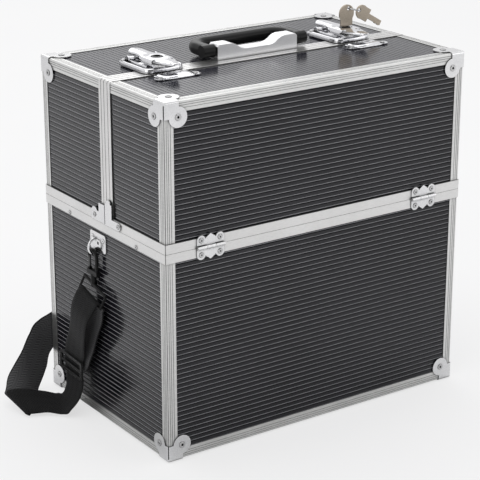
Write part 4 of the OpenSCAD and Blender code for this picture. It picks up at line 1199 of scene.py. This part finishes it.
@dataclass
class LatchBases:
    """The stamped trays under the levers, with a bright rolled lip, pin ears and tail plates.

    Attributes:
        up: The height of the trays' foot over the lids' top, in millimetres, like all the sizes below.
        outline: The tray's corners.
        well: The corners of the opening in the tray.
        lip: Inset and height of the rolled lip, from the outer foot to the well.
        drop: Inset and height of the well's wall.
        sole: Share of the well's size and height, over the floor and back under it.
        middle: The place along that the floor shrinks to.
        rail: The rails' distance from the middle and half their thickness.
        rail_low: Place along and height where a rail starts.
        rail_high: The same where it ends.
        ear: The radius of the pin ears and half their thickness.
        lobe: The middle of a tail screw's lobe.
        lobe_size: Bore, radius and half thickness of the lobe.
        bar: The lowest and the highest corner of the bolt's bar.
        tail: The same for the tail plate.
    """

    up: float = 0.4
    outline: tuple[Corner, ...] = (
        (-23, -18, 9), (23, -18, 9), (23, 30, 5), (17, 38, 5), (-17, 38, 5), (-23, 30, 5))
    well: tuple[Corner, ...] = (
        (-15.3, -12, 7), (15.3, -12, 7), (15.3, 27, 3), (12.6, 33, 3), (-12.6, 33, 3), (-15.3, 27, 3))
    lip: Profile = (
        (0.4, 0), (0, 0.5), (0.1, 2.6), (0.35, 3.9), (0.8, 4.6), (1.4, 4.95), (2.1, 5.0), (2.8, 4.75),
        (3.3, 4.2), (3.6, 3.4))
    drop: Profile = ((-0.6, 3.3), (0, 3.1), (0.3, 2.6), (0.4, 1.4))
    sole: Profile = ((0.9, 0.9), (0.45, 0.9), (0.02, 0.9), (0.02, 0.1), (0.6, 0.1), (0.95, 0.1))
    middle: float = 8.0
    rail: Pair = (16.1, 0.7)
    rail_low: Pair = (-8, 2.6)
    rail_high: Pair = (33.6, 6)
    ear: Pair = (3.4, 0.7)
    lobe: Point = (12, 40, 0.5)
    lobe_size: tuple[float, float, float] = (1.4, 5, 0.5)
    bar: tuple[Point, Point] = ((-16, -3, 2.6), (16, 0, 4.8))
    tail: tuple[Point, Point] = ((-12, 33, 0.05), (12, 45, 0.95))

    def fittings(self, bm: BMesh, place: Vector) -> None:
        """Adds rails, ears, the bolt's bar and the tail plate.

        Args:
            bm: The mesh to add to.
            place: The latch's place in millimetres.
        """
        away, thick = self.rail
        for side in (-1, 1):
            x = side * away
            slab(bm, (x - thick, *self.rail_low), (x + thick, *self.rail_high), place)
            axle = at(place, x, PIN_Y, PIN_UP - self.up) @ Matrix.Rotation(math.pi / 2, 4, "Y")
            tube(bm, axle, PIN_BORE, *self.ear)
            tube(bm, at(place, side * self.lobe[0], *self.lobe[1:]), *self.lobe_size)
        slab(bm, *self.bar, place)
        slab(bm, *self.tail, place, 0.2)

    def build(self, paint: Paint) -> Object:
        """Builds both trays.

        Args:
            paint: The finishes.

        Returns:
            The trays as one object.
        """
        bm = bmesh.new()
        for x in (-LATCH_X, LATCH_X):
            place = Vector((x, 0, LID_TOP + self.up))
            pressed(bm, place, [(self.outline, self.lip), (self.well, self.drop)], self.sole, self.middle)
            self.fittings(bm, place)
        obj = new_object("latch_trays", bm)
        shade_by_angle(obj, 38)
        return paint.fit(obj, "chrome", "rear_lid", "latch_bases")


@dataclass
class Catches:
    """The embossed catch plates on the front lid, with the lug that the claw holds.

    Attributes:
        outline: The plate's corners, in millimetres, like all the sizes below.
        crown: Inset and height of the embossed plate, from its foot inwards.
        dome: Share of the inner outline's size and height, over the middle and back under it.
        middle: The place along that the dome shrinks to.
        lug: The lowest and the highest corner of the lug.
        lobe: The middle of a rivet's lobe.
        lobe_size: Bore, radius and half thickness of the lobe.
    """

    outline: tuple[Corner, ...] = ((-20, -44.5, 7), (20, -44.5, 7), (20, -24.6, 4), (-20, -24.6, 4))
    crown: Profile = (
        (0.2, -0.4), (0, 0.1), (0.1, 0.7), (0.4, 1.05), (1.0, 1.2), (2.2, 1.2), (3.2, 1.5), (3.8, 2.1))
    dome: Profile = ((0.84, 2.5), (0.6, 2.6), (0.02, 2.6), (0.02, -0.4), (0.7, -0.4))
    middle: float = -34.5
    lug: tuple[Point, Point] = ((-9, -31.5, 0.6), (9, -29.9, 3.6))
    lobe: Point = (20, -39, 0.6)
    lobe_size: tuple[float, float, float] = (1.25, 5.5, 0.6)

    def build(self, paint: Paint) -> Object:
        """Builds both catches.

        Args:
            paint: The finishes.

        Returns:
            The catches as one object.
        """
        bm = bmesh.new()
        for x in (-LATCH_X, LATCH_X):
            place = Vector((x, 0, LID_TOP))
            pressed(bm, place, [(self.outline, self.crown)], self.dome, self.middle)
            slab(bm, *self.lug, place, 0.3)
            for side in (-1, 1):
                tube(bm, at(place, side * self.lobe[0], *self.lobe[1:]), *self.lobe_size)
        obj = new_object("catch_plates", bm)
        shade_by_angle(obj, 38)
        return paint.fit(obj, "chrome", "front_lid", "latch_catches")


@dataclass
class Studio:
    """Floor, lights and camera.

    Attributes:
        eye: The camera's place.
        azimuth: The camera's turn to the left of the front, in degrees.
        elevation: The camera's angle from above, in degrees.
        lens: The focal length in millimetres.
        sensor: The width of the sensor in millimetres.
        fill: The strength of the surrounding light.
        nadir: The colour of the light from below.
        zenith: The colour of the light from above.
        backdrop: The colour behind the object.
        dim_side: The direction of the studio's dark side.
        dim: What is left of the light from there.
        dim_range: How closely a direction must match the dark side for the dimming to start and be full.
        floor_size: Half the floor's width.
        floor_gap: How far the floor lies under the object, so that no faces meet.
        floor_tones: The darker and the lighter colour of the floor.
        glow: The colour to which the floor is evened out.
        lift: The share of the floor that is evened out for the camera.
        panels: Name, place, size and power of each soft light.
        aim: The point that the soft lights face.
    """

    eye: Point = (-0.96729, -1.37495, 0.75403)
    azimuth: float = 34.666
    elevation: float = 19.462
    lens: float = 127.5
    sensor: float = 36
    fill: float = 0.95
    nadir: Colour = (0.84, 0.84, 0.848)
    zenith: Colour = (0.98, 0.98, 0.99)
    backdrop: Colour = (0.91, 0.91, 0.915)
    dim_side: Point = (-0.15, -1.0, 0.3)
    dim: float = 0.15
    dim_range: Pair = (0.55, 0.9)
    floor_size: float = 30
    floor_gap: float = 0.0004
    floor_tones: tuple[Colour, Colour] = ((0.84, 0.84, 0.845), (0.86, 0.86, 0.865))
    glow: Colour = (0.97, 0.97, 0.972)
    lift: float = 0.68
    panels: tuple[tuple[str, Point, Pair, float], ...] = (
        ("top", (0.1, 0.1, 2.2), (2.4, 2.4), 14), ("front_left", (-2.2, -1.2, 1.1), (1.4, 1.8), 7),
        ("front_right", (1.6, -2.2, 1.0), (1.2, 1.6), 5), ("rear", (0.8, 2.2, 1.6), (1.6, 1.2), 6))
    aim: Point = (0, 0, 0.18)

    def camera(self) -> None:
        """Places the camera at the photograph's angle."""
        data = bpy.data.cameras.new("camera")
        data.lens = self.lens
        data.sensor_width = self.sensor
        obj = bpy.data.objects.new("camera", data)
        turn = Matrix.Rotation(-math.radians(self.azimuth), 4, "Z")
        tilt = Matrix.Rotation(math.radians(90 - self.elevation), 4, "X")
        obj.matrix_world = Matrix.Translation(self.eye) @ turn @ tilt
        bpy.context.scene.collection.objects.link(obj)
        bpy.context.scene.camera = obj

    def panel(self, name: str, place: Point, size: Pair, power: float) -> None:
        """Adds a soft light.

        Args:
            name: The light's name.
            place: Where it stands.
            size: Its width and height.
            power: Its power in watts.
        """
        data = bpy.data.lights.new(name, "AREA")
        data.shape = "RECTANGLE"
        data.size, data.size_y = size
        data.energy = power
        obj = bpy.data.objects.new(name, data)
        obj.location = place
        obj.rotation_euler = (Vector(self.aim) - Vector(place)).to_track_quat("-Z", "Y").to_euler()
        bpy.context.scene.collection.objects.link(obj)

    def world(self) -> None:
        """Makes the backdrop white to the eye and softly graded to the object."""
        world = bpy.data.worlds.new("studio")
        world.use_nodes = True
        bpy.context.scene.world = world
        nodes = Nodes(world.node_tree)
        where = nodes.coordinates("Generated")
        sky = nodes.ramp(nodes.parts(where)[2], (0, self.nadir), (1, self.zenith))
        match = nodes.add("VectorMath", operation="DOT_PRODUCT")
        match.inputs[1].default_value = Vector(self.dim_side).normalized()
        nodes.link(where, match.inputs[0])
        shade = nodes.span(match.outputs["Value"], 1.0, self.dim, *self.dim_range)
        lit, seen = nodes.tree.nodes["Background"], nodes.add("Background")
        nodes.link(nodes.mix(1.0, sky, shade, "MULTIPLY"), lit.inputs[0])
        lit.inputs[1].default_value = self.fill
        seen.inputs[0].default_value = (*self.backdrop, 1)
        camera = nodes.add("LightPath").outputs["Is Camera Ray"]
        both = nodes.blend(camera, lit.outputs[0], seen.outputs[0])
        nodes.link(both, nodes.tree.nodes["World Output"].inputs[0])

    def floor(self) -> None:
        """Lays a pale floor that fades into the backdrop and keeps a faint shadow."""
        bm = bmesh.new()
        bmesh.ops.create_grid(bm, x_segments=2, y_segments=2, size=self.floor_size)
        floor = new_object("floor", bm, smooth=False)
        floor.location.z = -self.floor_gap
        nodes = MaterialNodes("floor")
        cloud = nodes.noise(nodes.coordinates(), 3)
        nodes.set(Base_Color=nodes.ramp(cloud, (0.3, self.floor_tones[0]), (0.7, self.floor_tones[1])),
                  Roughness=0.9, Specular_IOR_Level=0.1)
        glow = nodes.add("Emission")
        glow.inputs[0].default_value = (*self.glow, 1)
        share = nodes.math("MULTIPLY", nodes.add("LightPath").outputs["Is Camera Ray"], self.lift)
        both = nodes.blend(share, nodes.shader.outputs[0], glow.outputs[0])
        nodes.link(both, nodes.tree.nodes["Material Output"].inputs[0])
        floor.data.materials.append(nodes.material)

    def build(self) -> None:
        """Builds the studio."""
        bpy.context.scene.view_settings.view_transform = "Standard"
        self.world()
        self.floor()
        self.camera()
        for name, place, size, power in self.panels:
            self.panel(name, place, size, power)
        LOG.info("built the studio")


def main() -> None:
    """Builds the scene in order."""
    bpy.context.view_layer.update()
    Studio().build()
    paint = Paint()
    paint.dress_frame()
    Strap().build(paint)
    LatchBases().build(paint)
    Catches().build(paint)
    for side, x in (("left", -LATCH_X), ("right", LATCH_X)):
        LatchLever(side, x).build(paint)


if __name__ == "__main__":
    main()
